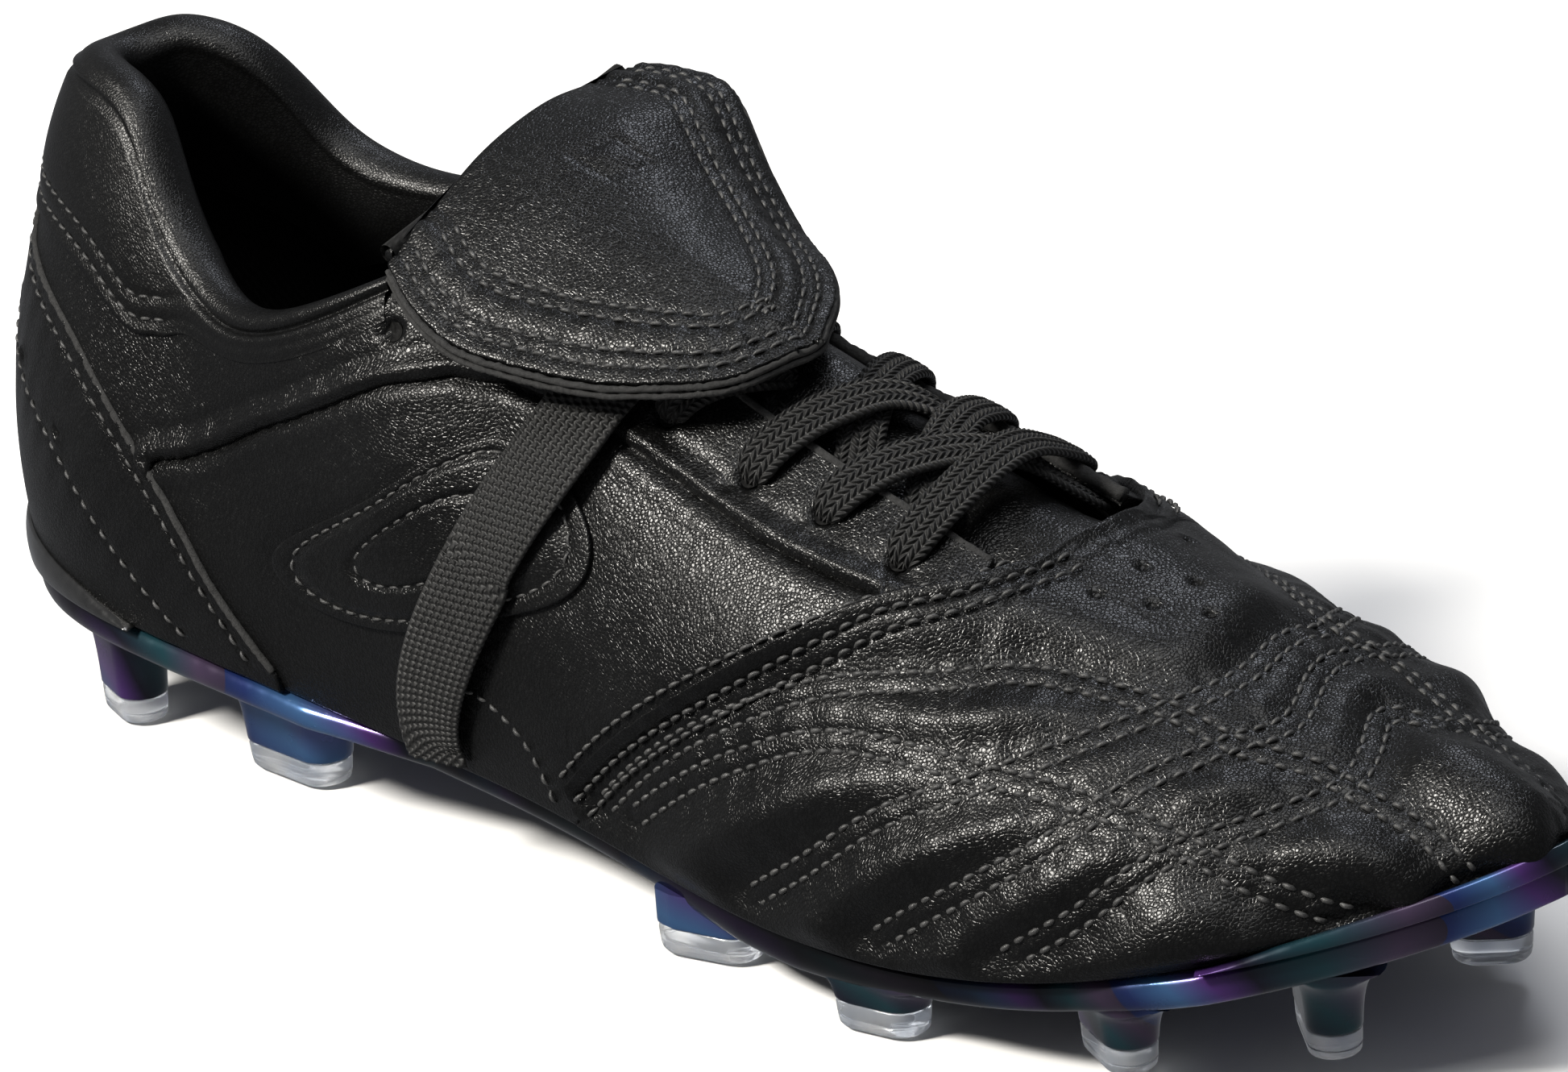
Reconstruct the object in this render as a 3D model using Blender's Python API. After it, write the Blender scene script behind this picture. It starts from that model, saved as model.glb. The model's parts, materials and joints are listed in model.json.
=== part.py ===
"""Soccer cleat, right foot: leather upper, moulded plate with blade studs, and a fold-over tongue flap.

Lengths here are millimetres in the shoe's own frame: X runs from the heel's back to the toe, +Y is
the inner (medial) side of the foot, Z is up and the studs stand on Z = 0. place() turns them into
metres about the centre of the shoe's box.
"""

import math

import bmesh
import bpy
import numpy as np
from mathutils import Vector

# ------------------------------------------------------------------ driving dimensions

CENTRE = (142.17, -3.13)  # middle of the shoe's box in plan
OUTER = 1.4  # upper leather
GAP = 0.6  # air left between two layers of the upper
BACKING = 1.5  # heel counter, toe puff and foam
LINING = 1.0
COLLAR_SKIN = 1.2
SEAM = 0.012  # half of the gap between two panels, as a share of the section's height
# How far the plate stands out past the feather edge, by station: the upper bulges over it at the arch.
PLATE_LIP = ((0, 0.8), (78, 0.8), (100, -3.5), (150, -3.5), (170, -2.0), (232, -2.0), (250, 0.8), (285, 0.8))
BACK_SEAM = 0.12  # station beside the seam at the heel's back
PLATE_EDGE_WIDTH = 9.0
TIP_HEIGHT = 4.0
TIP_GAP = 0.3
LACE_WIDTH = 7.0
LACE_THICK = 1.2
STRAP_WIDTH = 12.0
STRAP_THICK = 1.0
STRAP_LIFT = 1.9  # clears the side overlay, which it crosses
OVERLAY_CENTRE, OVERLAY_HEIGHT = 110, 0.36  # station and share of the section's height
OVERLAY_HALF_LENGTH, OVERLAY_HALF_HEIGHT = 31, 0.145
FLAP_SKIN = 1.4
FLAP_LINING = 1.1

# The last, the foot shape that the upper is pulled over, is a loop of sections from the feather
# edge, where upper meets plate, to the top edge. Each row is a section:
# feather x, y, z | top x, y, z | belly, rise, crown, lean in degrees.
LATERAL = (
    (0, 0, 24, 15, 0, 101.5, 6, 0.45, 0.35, 80),
    (4, -12, 24, 16.5, -6, 102, 6, 0.45, 0.35, 80),
    (14, -22, 23.5, 22, -11, 102, 6, 0.45, 0.35, 82),
    (30, -29, 23, 34, -15, 99.5, 5, 0.45, 0.35, 82),
    (50, -31.5, 21.5, 44, -20, 87.5, 5, 0.45, 0.35, 84),
    (75, -33, 19.5, 64, -27, 76, 4, 0.45, 0.40, 84),
    (100, -34, 17, 92, -26, 86, 4, 0.50, 0.45, 62),
    (125, -36.5, 15.5, 116, -6, 92, 4, 0.55, 0.50, 25),
    (150, -40.5, 13.5, 145, 0, 83, 4, 0.55, 0.52, 14),
    (175, -45, 12, 172, 1, 74, 4.5, 0.55, 0.54, 12),
    (200, -47.5, 12.5, 197, 2, 65.5, 4.5, 0.60, 0.54, 10),
    (220, -46.5, 14.5, 216, 2.5, 59, 4.5, 0.60, 0.54, 8),
    (240, -41.5, 18, 232, 3, 54, 4.5, 0.65, 0.54, 8),
    (256, -33.5, 22, 244, 3, 49.5, 4, 0.65, 0.52, 8),
    (268, -24.5, 25.5, 251, 3, 46.5, 3.5, 0.65, 0.50, 8),
    (277, -15.5, 28.5, 255, 3, 45, 3, 0.65, 0.50, 8),
    (283, -7, 31, 257, 3, 44.5, 3, 0.65, 0.50, 8),
    (285, 0, 32, 258, 3, 44, 3, 0.65, 0.50, 8),
)
MEDIAL = (
    (4, 12, 24, 16.5, 6, 102, 6, 0.45, 0.35, 80),
    (14, 22, 23.5, 21, 12, 102.5, 6, 0.45, 0.35, 82),
    (30, 28, 23, 31, 18, 98, 5, 0.45, 0.35, 84),
    (50, 30, 21.5, 41, 24, 85, 5, 0.45, 0.35, 86),
    (75, 28, 19.5, 64, 27, 79.5, 4, 0.45, 0.40, 84),
    (100, 25, 17, 92, 25, 86, 4, 0.50, 0.45, 62),
    (125, 25, 15.5, 116, 6, 92, 4, 0.55, 0.48, 25),
    (150, 29, 13.5, 145, 0, 83, 4, 0.55, 0.48, 20),
    (175, 36, 12, 172, 1, 74, 4, 0.55, 0.48, 18),
    (200, 41, 12.5, 197, 2, 65.5, 4, 0.60, 0.48, 16),
    (220, 41, 14.5, 216, 2.5, 59, 4, 0.60, 0.48, 14),
    (240, 36.5, 18, 232, 3, 54, 4, 0.62, 0.48, 14),
    (256, 28, 22, 244, 3, 49.5, 3, 0.62, 0.44, 15),
    (268, 19.5, 25.5, 251, 3, 46.5, 2.5, 0.60, 0.44, 16),
    (277, 12, 28.5, 255, 3, 45, 2.5, 0.60, 0.46, 14),
    (283, 6, 31, 257, 3, 44.5, 2.5, 0.62, 0.48, 10),
)
TOE = LATERAL[-1][0]
STEADY = 0.94  # above this share of a section its normal no longer changes
RIDGE_FROM = 150  # from this station on the two sides meet at the top

# Edges of the upper's panels, as (station along the feather edge, share of the section's height).
BACKSTAY_EDGE = ((0, 0.665), (8, 0.65), (12, 0.57), (33, 0.45), (53, 0.33), (64, 0.17), (74, 0.03))
COLLAR_EDGE = ((0, 0.67), (14, 0.64), (41, 0.60), (54, 0.70), (65, 0.83), (80, 0.87), (103, 0.88))
GROOVE = ((50, 0.37), (60, 0.47), (70, 0.59), (82, 0.71), (99, 0.75), (112, 0.68), (125, 0.60), (161, 0.60),
          (176, 0.61), (191, 0.63))
THROAT_EDGE = ((103, 0.93), (125, 0.83), (150, 0.80), (201, 0.79))
VAMP_EDGE = ((136, 0.05), (163, 0.31), (181, 0.50), (191, 0.62), (200, 0.72), (206, 0.86), (208, 1.0))
LINING_FOOT = ((0, 0.06), (100, 0.07), (200, 0.08), (260, 0.13), (285, 0.15))
VAMP_JOINS = 208  # from this station on the vamp runs over the instep in one piece
COLLAR_DEPTH = ((0, 7.6), (60, 7.6), (85, 4.6), (103, 3.4))  # thickness of the padded edge

# Instep ridge, which the tongue and the flap follow: (x, z).
RIDGE = ((92, 98), (100, 99), (116, 94), (130, 88.5), (145, 83), (160, 78), (172, 74), (190, 67.3),
         (208, 61.4))
LATERAL_CURVE = 0.025  # drop of the instep beside its ridge, per mm squared
MEDIAL_CURVE = ((100, 0.024), (108, 0.036), (116, 0.043), (124, 0.056), (150, 0.056), (172, 0.043),
                (190, 0.034))
TONGUE_FROM, TONGUE_TO = 98.5, 208
TONGUE_DROP = 3.4  # below the last's ridge, and a little more towards its edges
TONGUE_THICK = 2.6

# The flap, folded forward over the laces: (x, lateral edge y, medial edge y, ridge z, tilt, curve).
FLAP = (
    (100, -29, 27, 102, 0.23, 0.006),
    (107, -32, 29, 101.3, 0.26, 0.0064),
    (116, -33, 28.5, 99.5, 0.28, 0.007),
    (128, -31, 22, 95.3, 0.156, 0.010),
    (140, -27.5, 16, 91.3, 0.013, 0.0146),
    (150, -23, 9.5, 88.1, 0.03, 0.013),
    (157, -17.5, 3, 85.8, 0.05, 0.012),
    (161, -10, -3, 84.6, 0.05, 0.012),
)
FOLD_LATERAL, FOLD_MEDIAL = (98.5, -28, 91), (98.5, 28, 104)

# Studs: (name, x, y, ground z, length, width, yaw in degrees).
STUDS = (
    ("heel_rear_lateral", 25, -17, 0, 14, 8, -24),
    ("heel_front_lateral", 63, -20, 0, 20, 8.5, -6),
    ("heel_rear_medial", 25, 17, 0, 14, 8, 24),
    ("heel_front_medial", 63, 19, 0, 20, 8.5, 6),
    ("arch_lateral", 159, -35, 0, 17, 8, 10),
    ("arch_medial", 165, 27, 0, 15, 8, -8),
    ("forefoot_rear_lateral", 196, -40.5, 0, 15, 8, 6),
    ("forefoot_rear_medial", 200, 33, 0, 15, 8, -4),
    ("forefoot_mid_lateral", 231.5, -32, 1, 16, 8, -28),
    ("forefoot_mid_medial", 234, 27, 1, 16, 8, 26),
    ("toe_lateral", 255.5, -16, 3.6, 18, 8, -42),
    ("toe_medial", 258, 17, 3.6, 12, 8, 38),
)
STUD_FLARE = 1.7
EYELET_STATIONS = (104, 118, 132, 147, 162, 175, 189)
EYELET_HEIGHTS = (0.85, 0.76, 0.71, 0.68, 0.68, 0.70, 0.70)
EYELET_RADIUS = 1.6
LACED = EYELET_STATIONS[2:]


# ------------------------------------------------------------------ the last

class Loop:
    """A closed smooth curve (periodic cubic spline) through rows of values."""

    def __init__(self, keys, period, rows):
        self.keys, self.period, self.rows = keys, period, rows
        count = len(keys)
        self.steps = np.diff(np.append(keys, period))
        system = np.zeros((count, count))
        right = np.zeros_like(rows)
        for i in range(count):
            before, after = self.steps[i - 1], self.steps[i]
            system[i, i - 1] += before
            system[i, i] += 2 * (before + after)
            system[i, (i + 1) % count] += after
            rise = (rows[(i + 1) % count] - rows[i]) / after
            right[i] = 6 * (rise - (rows[i] - rows[i - 1]) / before)
        self.bend = np.linalg.solve(system, right)

    def at(self, key):
        key = key % self.period
        i = int(np.searchsorted(self.keys, key, side="right")) - 1
        j = (i + 1) % len(self.keys)
        step = self.steps[i]
        b = (key - self.keys[i]) / step
        a = 1 - b
        smooth = (a**3 - a) * self.bend[i] + (b**3 - b) * self.bend[j]
        return a * self.rows[i] + b * self.rows[j] + smooth * step**2 / 6


ROWS = np.array(LATERAL + MEDIAL[::-1], float)
CHORDS = np.linalg.norm(np.diff(ROWS[:, :2], axis=0, append=ROWS[:1, :2]), axis=1)
KEYS = np.append(0, np.cumsum(CHORDS[:-1]))
LAST = Loop(KEYS, CHORDS.sum(), ROWS)
TOE_ROW = len(LATERAL) - 1


def unit(vector):
    return vector / np.linalg.norm(vector)


def key_of(side, station):
    """The loop's key at a station along the feather edge; side is -1 lateral, 1 medial."""
    if side < 0:
        return np.interp(station, ROWS[: TOE_ROW + 1, 0], KEYS[: TOE_ROW + 1])
    stations = np.append(ROWS[TOE_ROW:, 0], 0)[::-1]
    return np.interp(station, stations, np.append(KEYS[TOE_ROW:], LAST.period)[::-1])


def last_point(key, t):
    """A point of the last, from t = 0 at the feather edge to t = 1 at the top edge."""
    feather_x, feather_y, feather_z, top_x, top_y, top_z, belly, rise, crown, lean = LAST.at(key)
    low = np.array((feather_x, feather_y, feather_z))
    top = np.array((top_x, top_y, top_z))
    along = LAST.at(key + 0.05)[:2] - LAST.at(key - 0.05)[:2]
    out = unit(np.array((along[1], -along[0], 0)))
    height = top[2] - low[2]
    reach = np.array((low[0] - top[0], low[1] - top[1], 0))
    angle = math.radians(lean)
    length = crown * max(np.linalg.norm(reach), 0.8 * height * math.sin(angle))
    lower = low + out * belly + np.array((0, 0, height * rise))
    upper = top + unit(reach) * length * math.cos(angle) + out * 2.5 * math.sin(angle)
    upper = upper - np.array((0, 0, length * math.sin(angle)))
    s = 1 - t
    return s**3 * low + 3 * s * s * t * lower + 3 * s * t * t * upper + t**3 * top


def last_normal(key, t):
    t = min(t, STEADY)
    along = last_point(key + 0.4, t) - last_point(key - 0.4, t)
    up = last_point(key, min(t + 0.01, 1)) - last_point(key, max(t - 0.01, 0))
    return unit(np.cross(along, up))


def skin(side, station, t, offset=0.0):
    """A point of the last moved outward by offset. The two sides share the instep's ridge."""
    key = key_of(side, station)
    point, normal = last_point(key, t), last_normal(key, t)
    if t >= 1 and station >= RIDGE_FROM:
        twin = key_of(-side, station)
        point = (point + last_point(twin, t)) / 2
        normal = unit(normal + last_normal(twin, t))
    return point + normal * offset


def edge(curve, station):
    return float(np.interp(station, [p[0] for p in curve], [p[1] for p in curve]))


# ------------------------------------------------------------------ building solids

def place(point):
    return ((point[0] - CENTRE[0]) * 0.001, (point[1] - CENTRE[1]) * 0.001, point[2] * 0.001)


def material(name, colour, roughness, metallic=0.0):
    found = bpy.data.materials.get(name)
    if found:
        return found
    made = bpy.data.materials.new(name)
    made.use_nodes = True
    shader = made.node_tree.nodes["Principled BSDF"]
    shader.inputs["Base Color"].default_value = (*colour, 1)
    shader.inputs["Roughness"].default_value = roughness
    shader.inputs["Metallic"].default_value = metallic
    made.diffuse_color = (*colour, 1)
    return made


def black_leather():
    return material("black_leather", (0.022, 0.022, 0.024), 0.42)


def black_lining():
    return material("black_lining", (0.018, 0.018, 0.019), 0.85)


def foam():
    return material("grey_foam", (0.09, 0.09, 0.095), 0.95)


def stiffener():
    return material("white_stiffener", (0.45, 0.45, 0.44), 0.6)


def plate_plastic():
    return material("dark_iridescent_plastic", (0.03, 0.035, 0.07), 0.12, 0.25)


def clear_plastic():
    return material("clear_plastic", (0.62, 0.66, 0.70), 0.08)


def black_plastic():
    return material("gloss_black_plastic", (0.012, 0.012, 0.014), 0.15)


def lace_fabric():
    return material("black_lace", (0.02, 0.02, 0.022), 0.8)


def board():
    return material("fibre_board", (0.32, 0.27, 0.20), 0.9)


def new_object(name, mesh, look):
    mesh.materials.append(look)
    made = bpy.data.objects.new(name, mesh)
    bpy.context.scene.collection.objects.link(made)
    return made


def mesh_of(name, points, faces):
    """A closed mesh from points in the shoe's frame, with its faces turned outward."""
    shape = bmesh.new()
    vertices = [shape.verts.new(place(point)) for point in points]
    for face in faces:
        shape.faces.new([vertices[i] for i in face])
    bmesh.ops.remove_doubles(shape, verts=shape.verts, dist=2e-6)
    bmesh.ops.dissolve_degenerate(shape, edges=shape.edges, dist=1e-6)
    bmesh.ops.recalc_face_normals(shape, faces=shape.faces)
    mesh = bpy.data.meshes.new(name)
    shape.to_mesh(mesh)
    shape.free()
    mesh.shade_smooth()
    mesh.set_sharp_from_angle(angle=math.radians(40))
    return mesh


def loft(name, sections, look, joined=(), zipped=False):
    """A solid through sections, each a pair of equally long outer and inner rows of points.

    joined[i] says that section i's last points meet their twins on the other side of the shoe, so
    no edge is built there. zipped says that the section at the toe is shared by both sides.
    """
    count = len(sections[0][0])
    ring = 2 * count
    points = [point for outer, inner in sections for point in (*outer, *inner[::-1])]
    faces = []
    for i in range(len(sections) - 1):
        for j in range(ring):
            at_top = j == count - 1
            if at_top and joined and joined[i] and joined[i + 1]:
                continue
            k = (j + 1) % ring
            faces.append((i * ring + j, i * ring + k, (i + 1) * ring + k, (i + 1) * ring + j))
    ends = () if zipped else (0, len(sections) - 1)
    for i in ends:
        for j in range(count - 1):
            back = ring - 1 - j
            faces.append(tuple(i * ring + n for n in (j, j + 1, back - 1, back)))
    return new_object(name, mesh_of(name, points, faces), look)


def band(side, station, low, high, outer, inner, steps):
    """One section of a panel: rows of points from t = low to t = high, at two offsets."""
    shares = np.linspace(low, high, steps + 1)
    return (
        [skin(side, station, t, outer) for t in shares],
        [skin(side, station, t, inner) for t in shares],
    )


def stations(first, last, spacing):
    return np.linspace(first, last, max(2, round(abs(last - first) / spacing) + 1))


def around_heel(reach, spacing=6.0):
    """Stations from the lateral side round the heel's back to the medial side."""
    one_side = stations(0, reach, spacing)
    return [(-1, s) for s in one_side[::-1]] + [(1, s) for s in one_side[1:]]


def around_toe(reach, extra=()):
    """Stations from the lateral side round the toe to the medial side, closer towards the tip."""
    near_tip = (240, 248, 256, 263, 269, 274, 278, 281.5, 284, TOE)
    one_side = sorted({*np.arange(reach, 240, 8.0), *near_tip, *extra})
    return [(-1, s) for s in one_side] + [(1, s) for s in one_side[-2::-1]]


# ------------------------------------------------------------------ upper

def heel_backstay():
    sections = [
        band(side, s, SEAM, edge(BACKSTAY_EDGE, s) - SEAM, 0, -OUTER, 5)
        for side, s in around_heel(71)
    ]
    return loft("heel_backstay", sections, black_leather())


def quarter(side, name):
    """The big side panel, between backstay, groove, vamp seam and plate."""
    sections = []
    for s in (51, 55, 60, 66, 72, 78, 84, 92, 100, 108, 116, 125, 134, 142, 150, 158, 166, 174, 182, 188):
        low = edge(BACKSTAY_EDGE, s) if s < BACKSTAY_EDGE[-1][0] else 0
        low = max(low, 0 if s < VAMP_EDGE[0][0] else edge(VAMP_EDGE, s))
        high = edge(GROOVE, s)
        sections.append(band(side, s, low + SEAM, max(high - SEAM, low + 2 * SEAM), 0, -OUTER, 5))
    return loft(name, sections, black_leather())


def eyestay(side, name):
    """The upper side panel, from the backstay along the collar and the throat, with its punched holes."""
    sections = []
    for s in (12, 18, 25, 33, 41, 48, 54, 60, 66, 72, 78, 84, 92, 99, 105, 112, 118, 125, 132, 140, 148,
              156, 164, 172, 180, 187, 193, 199):
        low = edge(BACKSTAY_EDGE, s) if s < GROOVE[0][0] else edge(GROOVE, s)
        low = max(low, edge(VAMP_EDGE, s) if s > VAMP_EDGE[2][0] else 0)
        high = edge(COLLAR_EDGE, s) if s < THROAT_EDGE[0][0] else edge(THROAT_EDGE, s)
        sections.append(band(side, s, low + SEAM, high - SEAM, 0, -OUTER, 3))
    panel = loft(name, sections, black_leather())
    for s, t in zip(EYELET_STATIONS, EYELET_HEIGHTS):
        punch(panel, side, s, t)
    return panel


def punch(panel, side, station, t):
    """Cuts a round hole through a panel, along its normal."""
    bpy.ops.mesh.primitive_cylinder_add(vertices=12, radius=EYELET_RADIUS * 0.001, depth=0.008)
    cutter = bpy.context.object
    cutter.name = f"cutter_{panel.name}_{station}"
    cutter.location = place(skin(side, station, t, -OUTER / 2))
    normal = last_normal(key_of(side, station), t)
    cutter.rotation_mode = "QUATERNION"
    cutter.rotation_quaternion = Vector(normal).to_track_quat("Z", "Y")
    cutter.hide_render = True
    cutter.display_type = "WIRE"
    cut = panel.modifiers.new("eyelet", "BOOLEAN")
    cut.operation = "DIFFERENCE"
    cut.object = cutter


def vamp():
    """The quilted forefoot panel, from the seam round the toe."""
    path = around_toe(VAMP_EDGE[0][0] + 2, extra=(206, VAMP_JOINS))
    sections = [
        band(side, s, SEAM, edge(VAMP_EDGE, s) - (SEAM if s < VAMP_JOINS else 0), 0, -OUTER, 7)
        for side, s in path
    ]
    return loft("vamp", sections, black_leather(), joined=[s >= VAMP_JOINS for _, s in path])


def vamp_lining():
    """Fabric inside the forefoot. It starts ahead of the tongue's end."""
    starts, joins = 150, VAMP_JOINS + 10
    outer = -(OUTER + BACKING + 2 * GAP)
    path = around_toe(starts, extra=(joins,))
    sections = []
    for side, s in path:
        low = edge(LINING_FOOT, s)
        high = 1 if s >= joins else low + (0.72 - low) * (s - starts + 8) / (joins - starts + 8)
        deeper = outer - 0.5 * float(np.interp(s, (225, 250), (0, 1)))
        sections.append(band(side, s, low, high, deeper, deeper - LINING, 6))
    return loft("vamp_lining", sections, black_lining(), joined=[s >= joins for _, s in path])


def across(station, low, outer, inner, steps):
    """One section that runs over the instep, from t = low on one side to the same on the other."""
    shares = np.linspace(low, 1, steps + 1)
    rows = []
    for offset in (outer, inner):
        lateral = [skin(-1, station, t, offset) for t in shares]
        medial = [skin(1, station, t, offset) for t in shares[-2::-1]]
        rows.append(lateral + medial)
    return tuple(rows)


def vamp_foam():
    outer = -(OUTER + GAP)
    sections = [across(s, 0.2, outer, outer - BACKING, 5) for s in (220, 228, 236, 243, 250, 256)]
    return loft("vamp_foam", sections, foam())


def toe_puff():
    """Stiffener round the toe's tip, under the leather."""
    outer = -(OUTER + GAP)
    one_side = (262, 267, 271, 275, 278.5, 281.5, 284, TOE)
    path = [(-1, s) for s in one_side] + [(1, s) for s in one_side[-2::-1]]
    sections = [band(side, s, edge(LINING_FOOT, s), 0.62, outer, outer - BACKING, 3) for side, s in path]
    return loft("toe_puff", sections, stiffener())


def heel_counter():
    outer = -(OUTER + GAP)
    sections = [
        band(side, s, edge(LINING_FOOT, s), 0.55 - 0.30 * (s / 70) ** 2, outer, outer - BACKING, 4)
        for side, s in around_heel(70)
    ]
    return loft("heel_counter", sections, stiffener())


def heel_lining():
    outer = -(OUTER + BACKING + 2 * GAP)
    sections = [
        band(side, s, edge(LINING_FOOT, s), 0.57, outer, outer - LINING, 4)
        for side, s in around_heel(72)
    ]
    return loft("heel_lining", sections, black_lining())


def quarter_lining(side, name):
    outer = -(OUTER + GAP)
    high = 0.63 if side < 0 else 0.54
    sections = []
    for s in stations(76, 196, 8):
        foot = edge(LINING_FOOT, s)
        if s > 140:
            foot += (high + 0.02 - foot) * (s - 140) / 62
        sections.append(band(side, s, foot, high, outer, outer - LINING, 4))
    return loft(name, sections, black_lining())


def collar(side, name):
    """Leather rolled over the padded top edge, from the seam outside to the seam inside."""
    sections = []
    turns = np.linspace(0, math.pi, 7)[1:-1]
    for s in stations(BACK_SEAM, 97, 5.0):
        depth = edge(COLLAR_DEPTH, s)
        legs = np.linspace(edge(COLLAR_EDGE, s) + SEAM, 0.97, 4)
        rows = []
        for skin_in in (0, COLLAR_SKIN):
            radius = depth / 2 - skin_in
            roll = [collar_roll(side, s, depth, radius, turn) for turn in turns]
            outside = [skin(side, s, t, -skin_in) for t in legs]
            inside = [skin(side, s, t, skin_in - depth) for t in legs[::-1]]
            rows.append(outside + roll + inside)
        sections.append(tuple(rows))
    return loft(name, sections, black_leather())


def collar_roll(side, station, depth, radius, turn):
    key = key_of(side, station)
    base, normal = last_point(key, 0.97), last_normal(key, 0.97)
    up = unit(last_point(key, 1) - base)
    return base + normal * (radius * math.cos(turn) - depth / 2) + up * 0.7 * radius * math.sin(turn)


def collar_foam():
    inset = COLLAR_SKIN + GAP
    sections = []
    for side, s in around_heel(90, 6.0):
        depth = edge(COLLAR_DEPTH, s)
        low = edge(COLLAR_EDGE, s) + 3 * SEAM
        sections.append(band(side, s, low, 0.96, -inset, min(inset - depth, -inset - 0.6), 3))
    return loft("collar_foam", sections, foam())


# ------------------------------------------------------------------ tongue, flap and laces

def instep(x, y, lift):
    curve = LATERAL_CURVE if y < 0 else edge(MEDIAL_CURVE, x)
    return np.array((x, y, edge(RIDGE, x) - curve * y * y + lift))


def tongue_half_width(x):
    return float(np.interp(x, (TONGUE_FROM, 116, 170, TONGUE_TO), (15, 17.5, 16, 13)))


def tongue_layer(name, top, thick, look):
    sections = []
    for x in stations(TONGUE_FROM, TONGUE_TO, 9):
        half = tongue_half_width(x)
        across_y = np.linspace(-half, half - 1.5, 11)
        sections.append((
            [instep(x, y, top - 0.08 * abs(y)) for y in across_y],
            [instep(x, y, top - 0.08 * abs(y) - thick) for y in across_y],
        ))
    return loft(name, sections, look)


def flap_height(x, y):
    xs = [row[0] for row in FLAP]
    ridge, tilt, curve = (float(np.interp(x, xs, [row[i] for row in FLAP])) for i in (3, 4, 5))
    return ridge + tilt * y - curve * y * y


def flap_layer(name, drop, thick, inset, look):
    """One layer of the flap, at rest over the laces; the hinge empty is its parent."""
    xs = [row[0] for row in FLAP]
    sections = []
    for x in (100.5, 104, 110, 116, 122, 128, 134, 140, 146, 152, 157, 160.2):
        low = float(np.interp(x, xs, [row[1] for row in FLAP])) + inset
        high = float(np.interp(x, xs, [row[2] for row in FLAP])) - inset
        across_y = np.linspace(low, high, 9)
        sections.append((
            [np.array((x, y, flap_height(x, y) - drop)) for y in across_y],
            [np.array((x, y, flap_height(x, y) - drop - thick)) for y in across_y],
        ))
    return loft(name, sections, look)


def fold_hinge():
    """The empty that the flap turns about, on the fold line."""
    hinge = bpy.data.objects.new("flap_fold", None)
    hinge.location = place([(a + b) / 2 for a, b in zip(FOLD_LATERAL, FOLD_MEDIAL)])
    bpy.context.scene.collection.objects.link(hinge)
    return hinge


def hang_on(piece, parent):
    """Parents a piece to an empty and leaves it where it is, with its origin on the empty."""
    shift = parent.location
    for vertex in piece.data.vertices:
        vertex.co -= shift
    piece.parent = parent


def lace_span(index, station):
    """One crossing of the flat lace, from eyelet to eyelet over the tongue."""
    t = edge(tuple(zip(EYELET_STATIONS, EYELET_HEIGHTS)), station)
    left, right = skin(-1, station, t, 2.2), skin(1, station, t, 2.2)
    sections = []
    for share in np.linspace(0, 1, 11):
        middle = left + (right - left) * share
        bulge = 4 * share * (1 - share)
        crown = edge(RIDGE, middle[0]) + 2.0 - (left[2] + right[2]) / 2
        middle[2] += crown * bulge
        slope = np.array((1.0, 0, -0.36)) / math.hypot(1, 0.36)
        corners = [middle + slope * LACE_WIDTH * w for w in (-0.5, 0, 0.5)]
        down = np.array((-0.34, 0, -0.94)) * LACE_THICK
        sections.append((corners, [corner + down for corner in corners]))
    return loft(f"lace_span_{index}", sections, lace_fabric())


def lace_keeper():
    """The loop of leather on the tongue that holds the laces in the middle."""
    sections = []
    for x in (147.5, 151.5, 155.5, 159.5, 163):
        across_y = np.linspace(-10.5, 6, 7)
        sections.append((
            [instep(x, y, -1.4) for y in across_y],
            [instep(x, y, -2.8) for y in across_y],
        ))
    return loft("lace_keeper", sections, black_leather())


# ------------------------------------------------------------------ strap and overlays

def strap(side, name):
    """Elastic strap from under the flap down to the arch."""
    sections = []
    for share in np.linspace(0, 1, 13):
        t = 0.04 + (0.64 - 0.04) * share
        middle = 103 + (135 - 103) * share
        half = STRAP_WIDTH / 2 + 0.6
        row = [skin(side, middle + w * half, t, STRAP_LIFT + STRAP_THICK) for w in (-1, 0, 1)]
        under = [skin(side, middle + w * half, t, STRAP_LIFT) for w in (-1, 0, 1)]
        sections.append((row, under))
    return loft(name, sections, lace_fabric())


def overlay(side, name):
    """A plain raised oval on the quarter, under the strap."""
    sections = []
    for turn in np.linspace(-0.46, 0.46, 13) * math.pi:
        share, half = math.sin(turn), OVERLAY_HALF_HEIGHT * math.cos(turn)
        station = OVERLAY_CENTRE + OVERLAY_HALF_LENGTH * share
        middle = OVERLAY_HEIGHT + 0.03 * share
        sections.append(band(side, station, middle - half, middle + half, 1.4, 0.5, 4))
    return loft(name, sections, black_leather())


# ------------------------------------------------------------------ bottom

def feather(side, station, outward):
    """A point of the feather edge, moved outward in plan."""
    key = key_of(side, station)
    along = LAST.at(key + 0.05)[:2] - LAST.at(key - 0.05)[:2]
    out = unit(np.array((along[1], -along[0])))
    low = LAST.at(key)[:3]
    return np.array((low[0] + out[0] * outward, low[1] + out[1] * outward, low[2]))


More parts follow.
